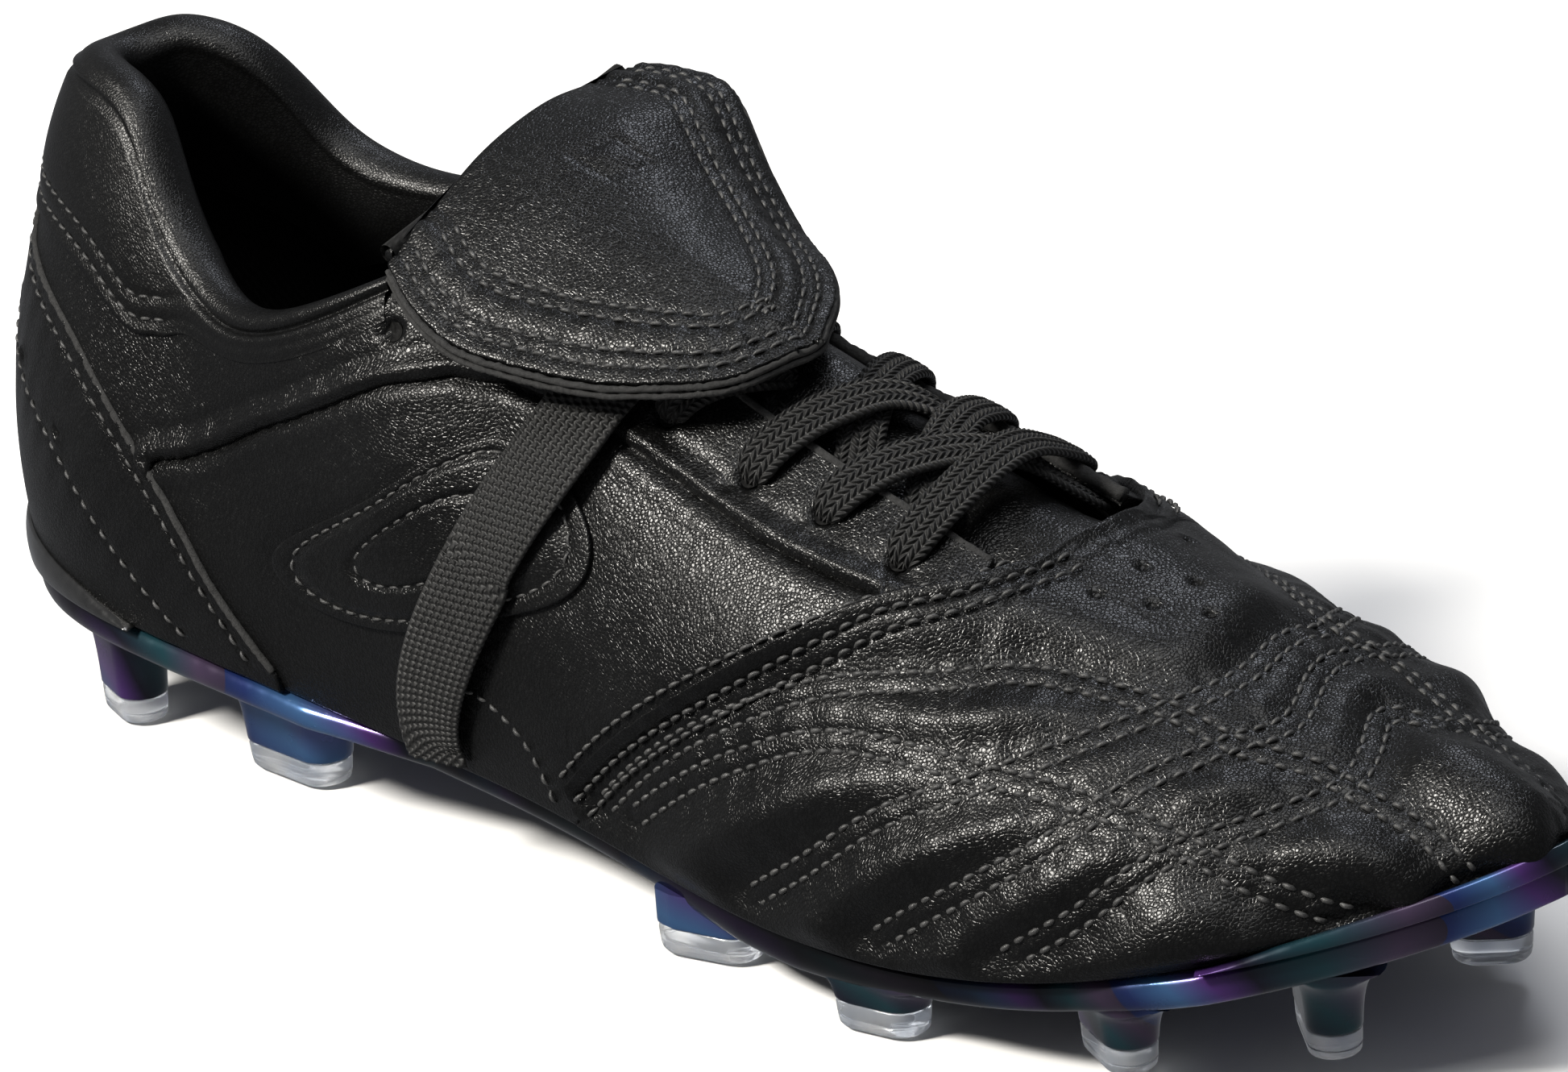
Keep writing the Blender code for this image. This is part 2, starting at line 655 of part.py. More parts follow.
def footprint(name, path, top, bottom, outward, look, recess=0.0, rim=0.0):
    """A solid with the shoe's outline, between two heights measured from the feather edge."""
    sections = []
    for s in path:
        reach = edge(outward, s) if isinstance(outward, tuple) else outward
        left, right = feather(-1, s, reach), feather(1, s, reach)
        width = right[1] - left[1]
        shares = (0, 0.25, 0.5, 0.75, 1)
        if rim:
            inner = min(rim / max(width, 1e-6), 0.3)
            shares = (0, inner * 0.5, inner, 0.5, 1 - inner, 1 - inner * 0.5, 1)
        deep = edge(bottom, s) if isinstance(bottom, tuple) else bottom
        upper, lower = [], []
        for n, share in enumerate(shares):
            spot = left + (right - left) * share
            raised = recess if rim and 1 < n < 5 else 0
            upper.append(spot + np.array((0, 0, top)))
            lower.append(spot + np.array((0, 0, deep + raised)))
        sections.append((upper, lower))
    return loft(name, sections, look)


PLATE_PATH = (0.3, 1.2, 3, 6, 10, 16, 24, 33, 43, 54, 66, 78, 90, 103, 116, 129, 142, 155, 168, 181,
              194, 207, 219, 230, 240, 249, 257, 264, 270, 275, 279, 282, 284, 284.8)
PLATE_DEPTH = ((0, -6.0), (50, -5.2), (85, -4.6), (130, -5.4), (182, -6.2), (208, -5.0), (240, -5.6),
               (285, -5.6))


def outsole_plate():
    plate = footprint("outsole_plate", PLATE_PATH, -0.3, PLATE_DEPTH, PLATE_LIP, plate_plastic(),
                      recess=1.8, rim=PLATE_EDGE_WIDTH)
    for name, x, y, ground, length, width, yaw in STUDS:
        top = plate_height(x) - 2.6
        stem = stud_solid(f"cutter_stem_{name}", x, y, ground + TIP_HEIGHT + TIP_GAP, top, length, width,
                          yaw, plate_plastic(), flare=STUD_FLARE)
        stem.hide_render = True
        stem.display_type = "WIRE"
        join = plate.modifiers.new(f"stud_{name}", "BOOLEAN")
        join.operation = "UNION"
        join.object = stem
    return plate


def plate_height(x):
    """Height of the feather edge at a place along the shoe."""
    return float(np.interp(x, [row[0] for row in LATERAL], [row[2] for row in LATERAL]))


def stud_solid(name, x, y, low, high, length, width, yaw, look, flare=1.0, nib=1.0):
    """An oblong stud between two heights, wider at its top by the factor flare."""
    height = high - low
    levels = ((0, nib), (0.2, 0.97), (1, 1.0))
    if flare > 1:
        levels = ((0, nib), (0.15, 1.04), (0.55, 1.12), (0.8, 1 + 0.55 * (flare - 1)), (1, flare))
    turn = math.radians(yaw)
    points, faces = [], []
    for share, grow in levels:
        for corner in stadium(length * grow, width * grow):
            across_x = corner[0] * math.cos(turn) - corner[1] * math.sin(turn)
            across_y = corner[0] * math.sin(turn) + corner[1] * math.cos(turn)
            points.append((x + across_x, y + across_y, low + height * share))
    count = len(stadium(length, width))
    for level in range(len(levels) - 1):
        this, above = level * count, (level + 1) * count
        for i in range(count):
            j = (i + 1) % count
            faces.append((this + i, this + j, above + j, above + i))
    faces.append(tuple(range(count)))
    faces.append(tuple(range((len(levels) - 1) * count, len(levels) * count)))
    return new_object(name, mesh_of(name, points, faces), look)


def stadium(length, width, steps=5):
    """An oblong with round ends, as corners in plan."""
    radius, straight = width / 2, (length - width) / 2
    corners = []
    for centre, start in ((straight, -90), (-straight, 90)):
        for i in range(steps + 1):
            angle = math.radians(start + 180 * i / steps)
            corners.append((centre + radius * math.cos(angle), radius * math.sin(angle)))
    return corners


def stud_tips():
    for name, x, y, ground, length, width, yaw in STUDS:
        stud_solid(f"stud_tip_{name}", x, y, ground, ground + TIP_HEIGHT, length, width, yaw,
                   clear_plastic(), nib=0.86)


def rim_band(name, path, height, outer, inner, look):
    """A plastic lip that stands up from the plate round the outside of the upper."""
    sections = [band(side, s, 0.004, height(s), outer, inner, 2) for side, s in path]
    return loft(name, sections, look)


def heel_cup():
    return rim_band("heel_cup", around_heel(42), lambda s: 0.055 - 0.03 * s / 42, 2.2, 0.6, black_plastic())


def toe_rim():
    one_side = (262, 267, 271, 275, 278.5, 281.5, 284, TOE)
    path = [(-1, s) for s in one_side] + [(1, s) for s in one_side[-2::-1]]
    return rim_band("toe_rim", path, lambda s: 0.05 + 0.05 * (s - 262) / 23, 2.0, 0.6, plate_plastic())


def insole_board():
    return footprint("insole_board", [s for s in PLATE_PATH if 6 <= s <= 279], 1.8, 0.3, -5.0, board())


def sockliner():
    return footprint("sockliner", [s for s in PLATE_PATH if 16 <= s <= 257], 6.0, 2.4, -8.5, black_lining())


# ------------------------------------------------------------------ assembly

def clear_scene():
    for old in list(bpy.data.objects):
        bpy.data.objects.remove(old, do_unlink=True)


def build():
    clear_scene()
    outsole_plate()
    stud_tips()
    heel_cup()
    toe_rim()
    insole_board()
    sockliner()
    heel_backstay()
    heel_counter()
    heel_lining()
    for side, word in ((-1, "lateral"), (1, "medial")):
        quarter(side, f"quarter_{word}")
        eyestay(side, f"eyestay_{word}")
        quarter_lining(side, f"quarter_lining_{word}")
        strap(side, f"strap_{word}")
        overlay(side, f"side_overlay_{word}")
        collar(side, f"collar_{word}")
    vamp()
    vamp_foam()
    vamp_lining()
    toe_puff()
    collar_foam()
    tongue_layer("tongue", -TONGUE_DROP, TONGUE_THICK, black_leather())
    tongue_layer("tongue_lining", -TONGUE_DROP - TONGUE_THICK - 0.4, 1.0, black_lining())
    for index, station in enumerate(LACED):
        lace_span(index + 1, station)
    lace_keeper()
    hinge = fold_hinge()
    hang_on(flap_layer("tongue_flap", 0, FLAP_SKIN, 0, black_leather()), hinge)
    hang_on(flap_layer("flap_lining", FLAP_SKIN + 0.4, FLAP_LINING, 0.8, black_lining()), hinge)


build()
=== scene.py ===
"""Looks of the soccer cleat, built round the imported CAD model.

Lengths are millimetres in the shoe's own frame, as in the part's source: X from the heel's back to
the toe, +Y medial, Z up. row() turns them into the frame's metres. The last is a loop of sections;
a spot on it is (s, v): s is the station along the feather edge, and v runs 0 to 1 up the lateral
side and 1 to 2 down the medial side.
"""

import json
import math
import random

import bmesh
import bpy
import numpy as np
from mathutils import Matrix, Vector
from mathutils.kdtree import KDTree

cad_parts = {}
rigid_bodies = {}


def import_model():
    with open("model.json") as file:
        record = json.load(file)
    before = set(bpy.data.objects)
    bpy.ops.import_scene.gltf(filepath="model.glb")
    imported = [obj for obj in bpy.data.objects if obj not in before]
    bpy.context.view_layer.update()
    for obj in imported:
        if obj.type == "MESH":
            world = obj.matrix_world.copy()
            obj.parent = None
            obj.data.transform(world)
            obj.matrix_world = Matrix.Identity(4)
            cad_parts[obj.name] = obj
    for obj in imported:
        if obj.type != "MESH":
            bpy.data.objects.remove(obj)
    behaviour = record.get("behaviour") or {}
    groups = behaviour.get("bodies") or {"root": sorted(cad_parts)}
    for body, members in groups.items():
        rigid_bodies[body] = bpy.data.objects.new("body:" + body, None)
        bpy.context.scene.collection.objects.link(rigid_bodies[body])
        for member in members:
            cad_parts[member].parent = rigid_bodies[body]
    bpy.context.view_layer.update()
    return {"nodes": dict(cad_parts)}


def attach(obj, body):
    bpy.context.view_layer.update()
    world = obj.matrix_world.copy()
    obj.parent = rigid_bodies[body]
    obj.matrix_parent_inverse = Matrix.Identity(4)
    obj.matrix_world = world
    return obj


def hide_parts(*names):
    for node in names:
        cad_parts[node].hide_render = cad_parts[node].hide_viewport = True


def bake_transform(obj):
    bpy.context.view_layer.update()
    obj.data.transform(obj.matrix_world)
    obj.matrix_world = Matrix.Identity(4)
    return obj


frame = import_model()
CENTRE = np.array((142.17, -3.13, 0.0))
MM = 0.001

# ------------------------------------------------------------------ the last (see part.py)
# feather x, y, z | top x, y, z | belly, rise, crown, lean in degrees
LATERAL = (
    (0, 0, 24, 15, 0, 101.5, 6, 0.45, 0.35, 80),
    (4, -12, 24, 16.5, -6, 102, 6, 0.45, 0.35, 80),
    (14, -22, 23.5, 22, -11, 102, 6, 0.45, 0.35, 82),
    (30, -29, 23, 34, -15, 99.5, 5, 0.45, 0.35, 82),
    (50, -31.5, 21.5, 44, -20, 87.5, 5, 0.45, 0.35, 84),
    (75, -33, 19.5, 64, -27, 76, 4, 0.45, 0.40, 84),
    (100, -34, 17, 92, -26, 86, 4, 0.50, 0.45, 62),
    (125, -36.5, 15.5, 116, -6, 92, 4, 0.55, 0.50, 25),
    (150, -40.5, 13.5, 145, 0, 83, 4, 0.55, 0.52, 14),
    (175, -45, 12, 172, 1, 74, 4.5, 0.55, 0.54, 12),
    (200, -47.5, 12.5, 197, 2, 65.5, 4.5, 0.60, 0.54, 10),
    (220, -46.5, 14.5, 216, 2.5, 59, 4.5, 0.60, 0.54, 8),
    (240, -41.5, 18, 232, 3, 54, 4.5, 0.65, 0.54, 8),
    (256, -33.5, 22, 244, 3, 49.5, 4, 0.65, 0.52, 8),
    (268, -24.5, 25.5, 251, 3, 46.5, 3.5, 0.65, 0.50, 8),
    (277, -15.5, 28.5, 255, 3, 45, 3, 0.65, 0.50, 8),
    (283, -7, 31, 257, 3, 44.5, 3, 0.65, 0.50, 8),
    (285, 0, 32, 258, 3, 44, 3, 0.65, 0.50, 8),
)
MEDIAL = (
    (4, 12, 24, 16.5, 6, 102, 6, 0.45, 0.35, 80),
    (14, 22, 23.5, 21, 12, 102.5, 6, 0.45, 0.35, 82),
    (30, 28, 23, 31, 18, 98, 5, 0.45, 0.35, 84),
    (50, 30, 21.5, 41, 24, 85, 5, 0.45, 0.35, 86),
    (75, 28, 19.5, 64, 27, 79.5, 4, 0.45, 0.40, 84),
    (100, 25, 17, 92, 25, 86, 4, 0.50, 0.45, 62),
    (125, 25, 15.5, 116, 6, 92, 4, 0.55, 0.48, 25),
    (150, 29, 13.5, 145, 0, 83, 4, 0.55, 0.48, 20),
    (175, 36, 12, 172, 1, 74, 4, 0.55, 0.48, 18),
    (200, 41, 12.5, 197, 2, 65.5, 4, 0.60, 0.48, 16),
    (220, 41, 14.5, 216, 2.5, 59, 4, 0.60, 0.48, 14),
    (240, 36.5, 18, 232, 3, 54, 4, 0.62, 0.48, 14),
    (256, 28, 22, 244, 3, 49.5, 3, 0.62, 0.44, 15),
    (268, 19.5, 25.5, 251, 3, 46.5, 2.5, 0.60, 0.44, 16),
    (277, 12, 28.5, 255, 3, 45, 2.5, 0.60, 0.46, 14),
    (283, 6, 31, 257, 3, 44.5, 2.5, 0.62, 0.48, 10),
)
ROWS = np.array(LATERAL + MEDIAL[::-1], float)
CHORDS = np.linalg.norm(np.diff(ROWS[:, :2], axis=0, append=ROWS[:1, :2]), axis=1)
KEYS = np.append(0, np.cumsum(CHORDS[:-1]))
PERIOD = CHORDS.sum()
TOE_ROW = len(LATERAL) - 1
TOE = LATERAL[-1][0]
RIDGE_FROM = 150
RIDGE_BLEND = 0.10


def loop_bends():
    """Second derivatives of the periodic cubic spline through the sections."""
    count = len(KEYS)
    steps = np.diff(np.append(KEYS, PERIOD))
    system, right = np.zeros((count, count)), np.zeros_like(ROWS)
    for i in range(count):
        before, after = steps[i - 1], steps[i]
        system[i, i - 1] += before
        system[i, i] += 2 * (before + after)
        system[i, (i + 1) % count] += after
        right[i] = 6 * ((ROWS[(i + 1) % count] - ROWS[i]) / after - (ROWS[i] - ROWS[i - 1]) / before)
    return steps, np.linalg.solve(system, right)


STEPS, BENDS = loop_bends()


def unit(vectors):
    return vectors / np.maximum(np.linalg.norm(vectors, axis=-1, keepdims=True), 1e-12)


def loop_at(keys):
    keys = np.mod(keys, PERIOD)
    i = np.searchsorted(KEYS, keys, side="right") - 1
    j = (i + 1) % len(KEYS)
    step = STEPS[i][..., None]
    b = (keys - KEYS[i])[..., None] / step
    a = 1 - b
    return a * ROWS[i] + b * ROWS[j] + ((a**3 - a) * BENDS[i] + (b**3 - b) * BENDS[j]) * step**2 / 6


def key_of(side, s):
    lateral = np.interp(s, ROWS[: TOE_ROW + 1, 0], KEYS[: TOE_ROW + 1])
    stations = np.append(ROWS[TOE_ROW:, 0], 0)[::-1]
    medial = np.interp(s, stations, np.append(KEYS[TOE_ROW:], PERIOD)[::-1])
    return np.where(side < 0, lateral, medial)


def raw_point(side, s, t):
    keys = key_of(side, s)
    row_ = loop_at(keys)
    low, top = row_[..., 0:3], row_[..., 3:6]
    belly, rise, crown, lean = (row_[..., n, None] for n in (6, 7, 8, 9))
    along = loop_at(keys + 0.05)[..., :2] - loop_at(keys - 0.05)[..., :2]
    out = unit(np.stack((along[..., 1], -along[..., 0], np.zeros_like(along[..., 0])), -1))
    up = np.array((0, 0, 1.0))
    height = (top - low)[..., 2:3]
    reach = (low - top) * np.array((1, 1, 0))
    span = np.linalg.norm(reach, axis=-1, keepdims=True)
    angle = np.radians(lean)
    length = crown * np.maximum(span, 0.8 * height * np.sin(angle))
    lower = low + out * belly + up * height * rise
    upper = (top + unit(reach) * length * np.cos(angle) + out * 2.5 * np.sin(angle)
             - up * length * np.sin(angle))
    t = np.asarray(t, float)[..., None]
    r = 1 - t
    return r**3 * low + 3 * r * r * t * lower + 3 * r * t * t * upper + t**3 * top


def on_last(s, v):
    """Points of the last, with the ridge over the instep rounded."""
    s, v = np.broadcast_arrays(np.asarray(s, float), np.asarray(v, float))
    side, t = np.where(v <= 1, -1, 1), height_share(v)
    points = raw_point(side, s, t)
    near = (s >= RIDGE_FROM) & (np.abs(v - 1) < RIDGE_BLEND)
    if near.any():
        w, e = RIDGE_BLEND, 1e-3
        sn = s[near]
        one, two = -np.ones_like(sn), np.ones_like(sn)
        a, b = raw_point(one, sn, 1 - w + 0 * sn), raw_point(two, sn, 1 - w + 0 * sn)
        da = (a - raw_point(one, sn, 1 - w - e + 0 * sn)) / e
        db = (raw_point(two, sn, 1 - w - e + 0 * sn) - b) / e
        x = ((v[near] - 1 + w) / (2 * w))[:, None]
        smooth = (
            (2 * x**3 - 3 * x**2 + 1) * a + (x**3 - 2 * x**2 + x) * 2 * w * da
            + (-2 * x**3 + 3 * x**2) * b + (x**3 - x**2) * 2 * w * db
        )
        points = points.copy()
        points[near] = smooth
    return points


def skin(s, v, offset=0.0):
    """Points and outward normals of the last, moved outward by offset."""
    s, v = np.broadcast_arrays(np.asarray(s, float), np.asarray(v, float))
    e = np.where(np.minimum(s, TOE - s) < 2, 0.05, 0.4)
    lo, hi = np.clip(s - e, 0, TOE), np.clip(s + e, 0, TOE)
    joined = (s >= RIDGE_FROM) & (s < TOE - 1.5)
    va, vb = np.where(joined, v - 0.01, v - 0.01), v + 0.01
    lateral = v <= 1
    va = np.clip(va, 0, 2)
    vb = np.clip(vb, 0, 2)
    va = np.where(~joined & ~lateral, np.maximum(va, 1.0001), va)
    vb = np.where(~joined & lateral, np.minimum(vb, 1), vb)
    along = on_last(hi, v) - on_last(lo, v)
    up = on_last(s, vb) - on_last(s, va)
    tip = s > TOE - 0.01
    if tip.any():
        along = np.where(tip[..., None], unit(along) * np.array((0, 1, 0)) + np.array((0, 1e-3, 0)), along)
        along = np.where((tip & lateral)[..., None], np.array((0, 1.0, 0)), along)
        along = np.where((tip & ~lateral)[..., None], np.array((0, -1.0, 0)), along)
    back = s < 0.01
    if back.any():
        along = np.where((back & lateral)[..., None], np.array((0, -1.0, 0)), along)
        along = np.where((back & ~lateral)[..., None], np.array((0, 1.0, 0)), along)
    normals = unit(np.cross(along, up))
    offset = np.asarray(offset, float)
    if offset.ndim:
        offset = offset[..., None]
    return on_last(s, v) + normals * offset, normals


def edge(curve, s):
    return np.interp(s, [p[0] for p in curve], [p[1] for p in curve])


SPLINE_STEPS = 24  # points between two that are given


def smooth_path(points):
    """A dense smooth curve (Catmull-Rom) through given points, of any dimension."""
    p = np.array(points, float)
    p = np.vstack((2 * p[0] - p[1], p, 2 * p[-1] - p[-2]))
    out = []
    for i in range(1, len(p) - 2):
        a, b, c, d = p[i - 1 : i + 3]
        for n in range(SPLINE_STEPS):
            x = n / SPLINE_STEPS
            out.append(0.5 * (2 * b + (c - a) * x + (2 * a - 5 * b + 4 * c - d) * x**2
                              + (3 * b - a - 3 * c + d) * x**3))
    out.append(p[-2])
    return np.array(out)


def evenly(points, step):
    """The same polyline with points a fixed step apart."""
    run = np.append(0, np.cumsum(np.linalg.norm(np.diff(points[:, :3], axis=0), axis=1)))
    count = max(2, int(round(run[-1] / step)) + 1)
    at = np.linspace(0, run[-1], count)
    return np.stack([np.interp(at, run, points[:, n]) for n in range(points.shape[1])], 1)


def detail(full, quick):
    return full


def row(points):
    return (np.asarray(points, float) - CENTRE) * MM


# ------------------------------------------------------------------ meshes

def new_object(name, points, faces, look, body="shoe", smooth=True, uv=None, weld=0.0):
    mesh = bpy.data.meshes.new(name)
    mesh.from_pydata(row(points).tolist(), [], [list(f) for f in faces])
    if uv is not None:
        layer = mesh.uv_layers.new(name="UVMap")
        index = np.zeros(len(mesh.loops), np.int32)
        mesh.loops.foreach_get("vertex_index", index)
        layer.data.foreach_set("uv", np.asarray(uv, np.float32)[index].ravel())
    if weld:
        shape = bmesh.new()
        shape.from_mesh(mesh)
        bmesh.ops.remove_doubles(shape, verts=shape.verts, dist=weld * MM)
        shape.to_mesh(mesh)
        shape.free()
    mesh.materials.append(look)
    if smooth:
        mesh.shade_smooth()
    made = bpy.data.objects.new(name, mesh)
    bpy.context.scene.collection.objects.link(made)
    if body:
        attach(made, body)
    return made


def end_caps(rings, count):
    """The two faces that close a row of rings."""
    return [tuple(range(count)), tuple((rings - 1) * count + j for j in range(count))[::-1]]


def grid_faces(rows, cols, start=0, wrap=False, flip=False, keep=None):
    faces = []
    for i in range(rows - 1):
        for j in range(cols if wrap else cols - 1):
            if keep is not None and not keep[i, j]:
                continue
            k = (j + 1) % cols
            quad = (start + i * cols + j, start + (i + 1) * cols + j, start + (i + 1) * cols + k,
                    start + i * cols + k)
            faces.append(quad[::-1] if flip else quad)
    return faces


def hem(points, normals, depth, round_by=0.3, sides="lrtb"):
    """Adds a rounded, turned-down edge to a grid of points. Returns the larger grid and its normals."""
    def grow(p, n, axis, at_end):
        edge_p = np.take(p, -1 if at_end else 0, axis)
        inner = np.take(p, -2 if at_end else 1, axis)
        edge_n = np.take(n, -1 if at_end else 0, axis)
        out = unit(edge_p - inner)
        one = edge_p + out * round_by * 0.75 - edge_n * round_by * 0.35
        two = edge_p + out * round_by - edge_n * round_by * 1.1
        three = edge_p + out * round_by * 0.9 - edge_n * depth
        extra = (one, two, three)
        if not at_end:
            extra = extra[::-1]
        stack = [np.expand_dims(e, axis) for e in extra]
        pn = np.repeat(np.expand_dims(edge_n, axis), 3, axis)
        parts = (p, *stack) if at_end else (*stack, p)
        nparts = (n, pn) if at_end else (pn, n)
        return np.concatenate(parts, axis), np.concatenate(nparts, axis)

    p, n = points, normals
    if "b" in sides:
        p, n = grow(p, n, 1, False)
    if "t" in sides:
        p, n = grow(p, n, 1, True)
    if "l" in sides:
        p, n = grow(p, n, 0, False)
    if "r" in sides:
        p, n = grow(p, n, 0, True)
    return p, n


def panel(name, side, s_rows, low, high, step, look, relief=None, depth=1.4, offset=0.0, sides="lrtb",
          body="shoe"):
    """A leather panel on one side of the shoe, between two edges given as functions of the station."""
    s_rows = np.asarray(s_rows, float)
    lo, hi = low(s_rows), high(s_rows)
    spans = np.linalg.norm(on_last(s_rows, fold(side, hi)) - on_last(s_rows, fold(side, lo)), axis=-1)
    cols = int(max(4, spans.max() / step)) + 1
    share = np.linspace(0, 1, cols)
    t = lo[:, None] + (hi - lo)[:, None] * share
    s = np.repeat(s_rows[:, None], cols, 1)
    points, normals = skin(s, fold(side, t))
    lift = offset if relief is None else offset + relief(points, s, fold(side, t))
    points = points + normals * (lift if np.ndim(lift) == 0 else lift[..., None])
    points, normals = hem(points, normals, depth, sides=sides)
    faces = grid_faces(points.shape[0], points.shape[1], flip=side > 0)
    return new_object(name, points.reshape(-1, 3), faces, look, body)


def height_share(v):
    """The height t of a v, on either side."""
    return np.where(v <= 1, v, 2 - v)


def fold(side, t):
    """The v of a height t on one side."""
    return t if side < 0 else 2 - t


def even_stations(side, first, last, step):
    """Stations whose feather points are about a fixed step apart."""
    a, b = float(key_of(side, first)), float(key_of(side, last))
    fine = np.linspace(first, last, 2000)
    keys = key_of(np.full_like(fine, side), fine)
    count = max(2, int(abs(b - a) / step) + 1)
    want = np.linspace(a, b, count)
    order = np.argsort(keys)
    return np.interp(want, keys[order], fine[order])


def around_heel(reach, step):
    """Stations and sides from the lateral side round the heel to the medial side."""
    one = even_stations(-1, 0, reach, step)
    two = even_stations(1, 0, reach, step)[1:]
    s = np.concatenate((one[::-1], two))
    side = np.concatenate((-np.ones(len(one)), np.ones(len(two))))
    return side, s


def stitches(name, runs, look, body="shoe", length=2.1, gap=0.7, radius=0.30):
    """Thread along several runs. A run is (points, normals); each stitch is a small arched capsule."""
    points, faces = [], []
    sides, rings = 6, 5
    for run in runs:
        line = evenly(np.hstack(run), length + gap)
        p, n = line[:, :3], unit(line[:, 3:6])
        for i in range(len(p) - 1):
            a, b = p[i], p[i + 1]
            along = unit(b - a)
            normal = unit(n[i] + n[i + 1])
            across = np.cross(along, normal)
            start = len(points)
            for k in range(rings):
                x = k / (rings - 1)
                thick = radius * (0.45, 0.95, 1.0, 0.95, 0.45)[k]
                sink = (-0.30, 0.02, 0.10, 0.02, -0.30)[k]
                centre = a + (b - a) * (0.5 + (x - 0.5) * length / (length + gap)) + normal * sink
                for j in range(sides):
                    angle = 2 * math.pi * j / sides
                    points.append(centre + across * thick * math.cos(angle)
                                  + normal * thick * math.sin(angle))
            faces += grid_faces(rings, sides, start, wrap=True)
            faces.append([start + j for j in range(sides)])
            faces.append([start + (rings - 1) * sides + j for j in range(sides)][::-1])
    return new_object(name, np.array(points), faces, look, body)


def beside(path, normals, shift):
    """A run moved sideways on the surface."""
    along = unit(np.gradient(path, axis=0))
    return path + np.cross(normals, along) * shift


def ribbon(name, path, ups, width, thick, look, body="shoe", pattern=None, step=0.4, cols=14, crown=0.0):
    """A closed flat band along a path; pattern(u, w) is its relief in mm, u along and w across in mm."""
    line = evenly(np.hstack((path, ups)), step)
    p, up = line[:, :3], unit(line[:, 3:6])
    along = unit(np.gradient(p, axis=0))
    across = unit(np.cross(up, along))
    up = np.cross(along, across)
    run = np.append(0, np.cumsum(np.linalg.norm(np.diff(p, axis=0), axis=1)))
    widths = width if np.ndim(width) else np.full(len(p), width)
    widths = np.interp(np.linspace(0, 1, len(p)), np.linspace(0, 1, len(widths)), widths)
    w = np.linspace(-1, 1, cols)
    shape = np.sqrt(np.maximum(0, 1 - np.abs(w) ** 6))
    u_mm, w_mm = np.meshgrid(run, w * np.mean(widths) / 2, indexing="ij")
    bumps = pattern(u_mm, w_mm) if pattern else 0 * u_mm
    half = widths[:, None] / 2 * w
    top = thick / 2 * shape + bumps * shape + crown * (1 - w**2)
    low = -thick / 2 * shape - bumps * shape * 0.6 + crown * (1 - w**2)
    upper = p[:, None] + across[:, None] * half[..., None] + up[:, None] * top[..., None]
    lower = p[:, None] + across[:, None] * half[..., None] + up[:, None] * low[..., None]
    ring = np.concatenate((upper, lower[:, -2:0:-1]), 1)
    count = ring.shape[1]
    faces = grid_faces(len(p), count, wrap=True)
    faces.append(list(range(count)))
    faces.append([(len(p) - 1) * count + j for j in range(count)][::-1])
    full_w = np.concatenate((w_mm, w_mm[:, -2:0:-1]), 1)
    full_u = np.repeat(run[:, None], count, 1)
    uv = np.stack((full_u, full_w), -1).reshape(-1, 2) * 0.1
    return new_object(name, ring.reshape(-1, 3), faces, look, body, uv=uv)


# ------------------------------------------------------------------ looks

class Look:
    """A node material, with short calls to add and join its nodes."""

    def __init__(self, name, **constants):
        self.material = bpy.data.materials.new(name)
        self.material.use_nodes = True
        self.tree = self.material.node_tree
        self.shader = self.tree.nodes["Principled BSDF"]
        for socket, value in constants.items():
            self.shader.inputs[socket.replace("_", " ")].default_value = value
        self.place = self.add("ShaderNodeTexCoord").outputs["Object"]

    def add(self, kind, inputs=None, **settings):
        node = self.tree.nodes.new(kind)
        for key, value in settings.items():
            setattr(node, key, value)
        for key, value in (inputs or {}).items():
            if isinstance(value, bpy.types.NodeSocket):
                self.tree.links.new(value, node.inputs[key])
            else:
                node.inputs[key].default_value = value
        return node

    def noise(self, scale, detail=2.0, roughness=0.5, at=None):
        inputs = {"Vector": at or self.place, "Scale": scale, "Detail": detail, "Roughness": roughness}
        return self.add("ShaderNodeTexNoise", inputs).outputs[0]

    def cells(self, scale, at=None, feature="F1"):
        inputs = {"Vector": at or self.place, "Scale": scale}
        return self.add("ShaderNodeTexVoronoi", inputs, feature=feature).outputs["Distance"]

    def maths(self, operation, a, b):
        return self.add("ShaderNodeMath", {0: a, 1: b}, operation=operation).outputs[0]

    def span(self, value, low, high, to_low, to_high):
        inputs = {"Value": value, "From Min": low, "From Max": high, "To Min": to_low, "To Max": to_high}
        return self.add("ShaderNodeMapRange", inputs).outputs[0]

    def ramp(self, value, stops):
        node = self.add("ShaderNodeValToRGB", {0: value})
        elements = node.color_ramp.elements
        for i, (place, colour) in enumerate(stops):
            element = elements[i] if i < 2 else elements.new(place)
            element.position = place
            element.color = (*colour, 1)
        return node.outputs[0]

    def colour(self, value):
        self.tree.links.new(value, self.shader.inputs["Base Color"])

    def rough(self, value):
        self.tree.links.new(value, self.shader.inputs["Roughness"])

    def bump(self, height, depth, below=None):
        inputs = {"Height": height, "Distance": depth, "Strength": 1.0}
        if below is not None:
            inputs["Normal"] = below
        return self.add("ShaderNodeBump", inputs).outputs[0]

    def normal(self, value):
        self.tree.links.new(value, self.shader.inputs["Normal"])


def grey(value, warm=0.0):
    return (value * (1 + warm), value, value * (1 - warm))


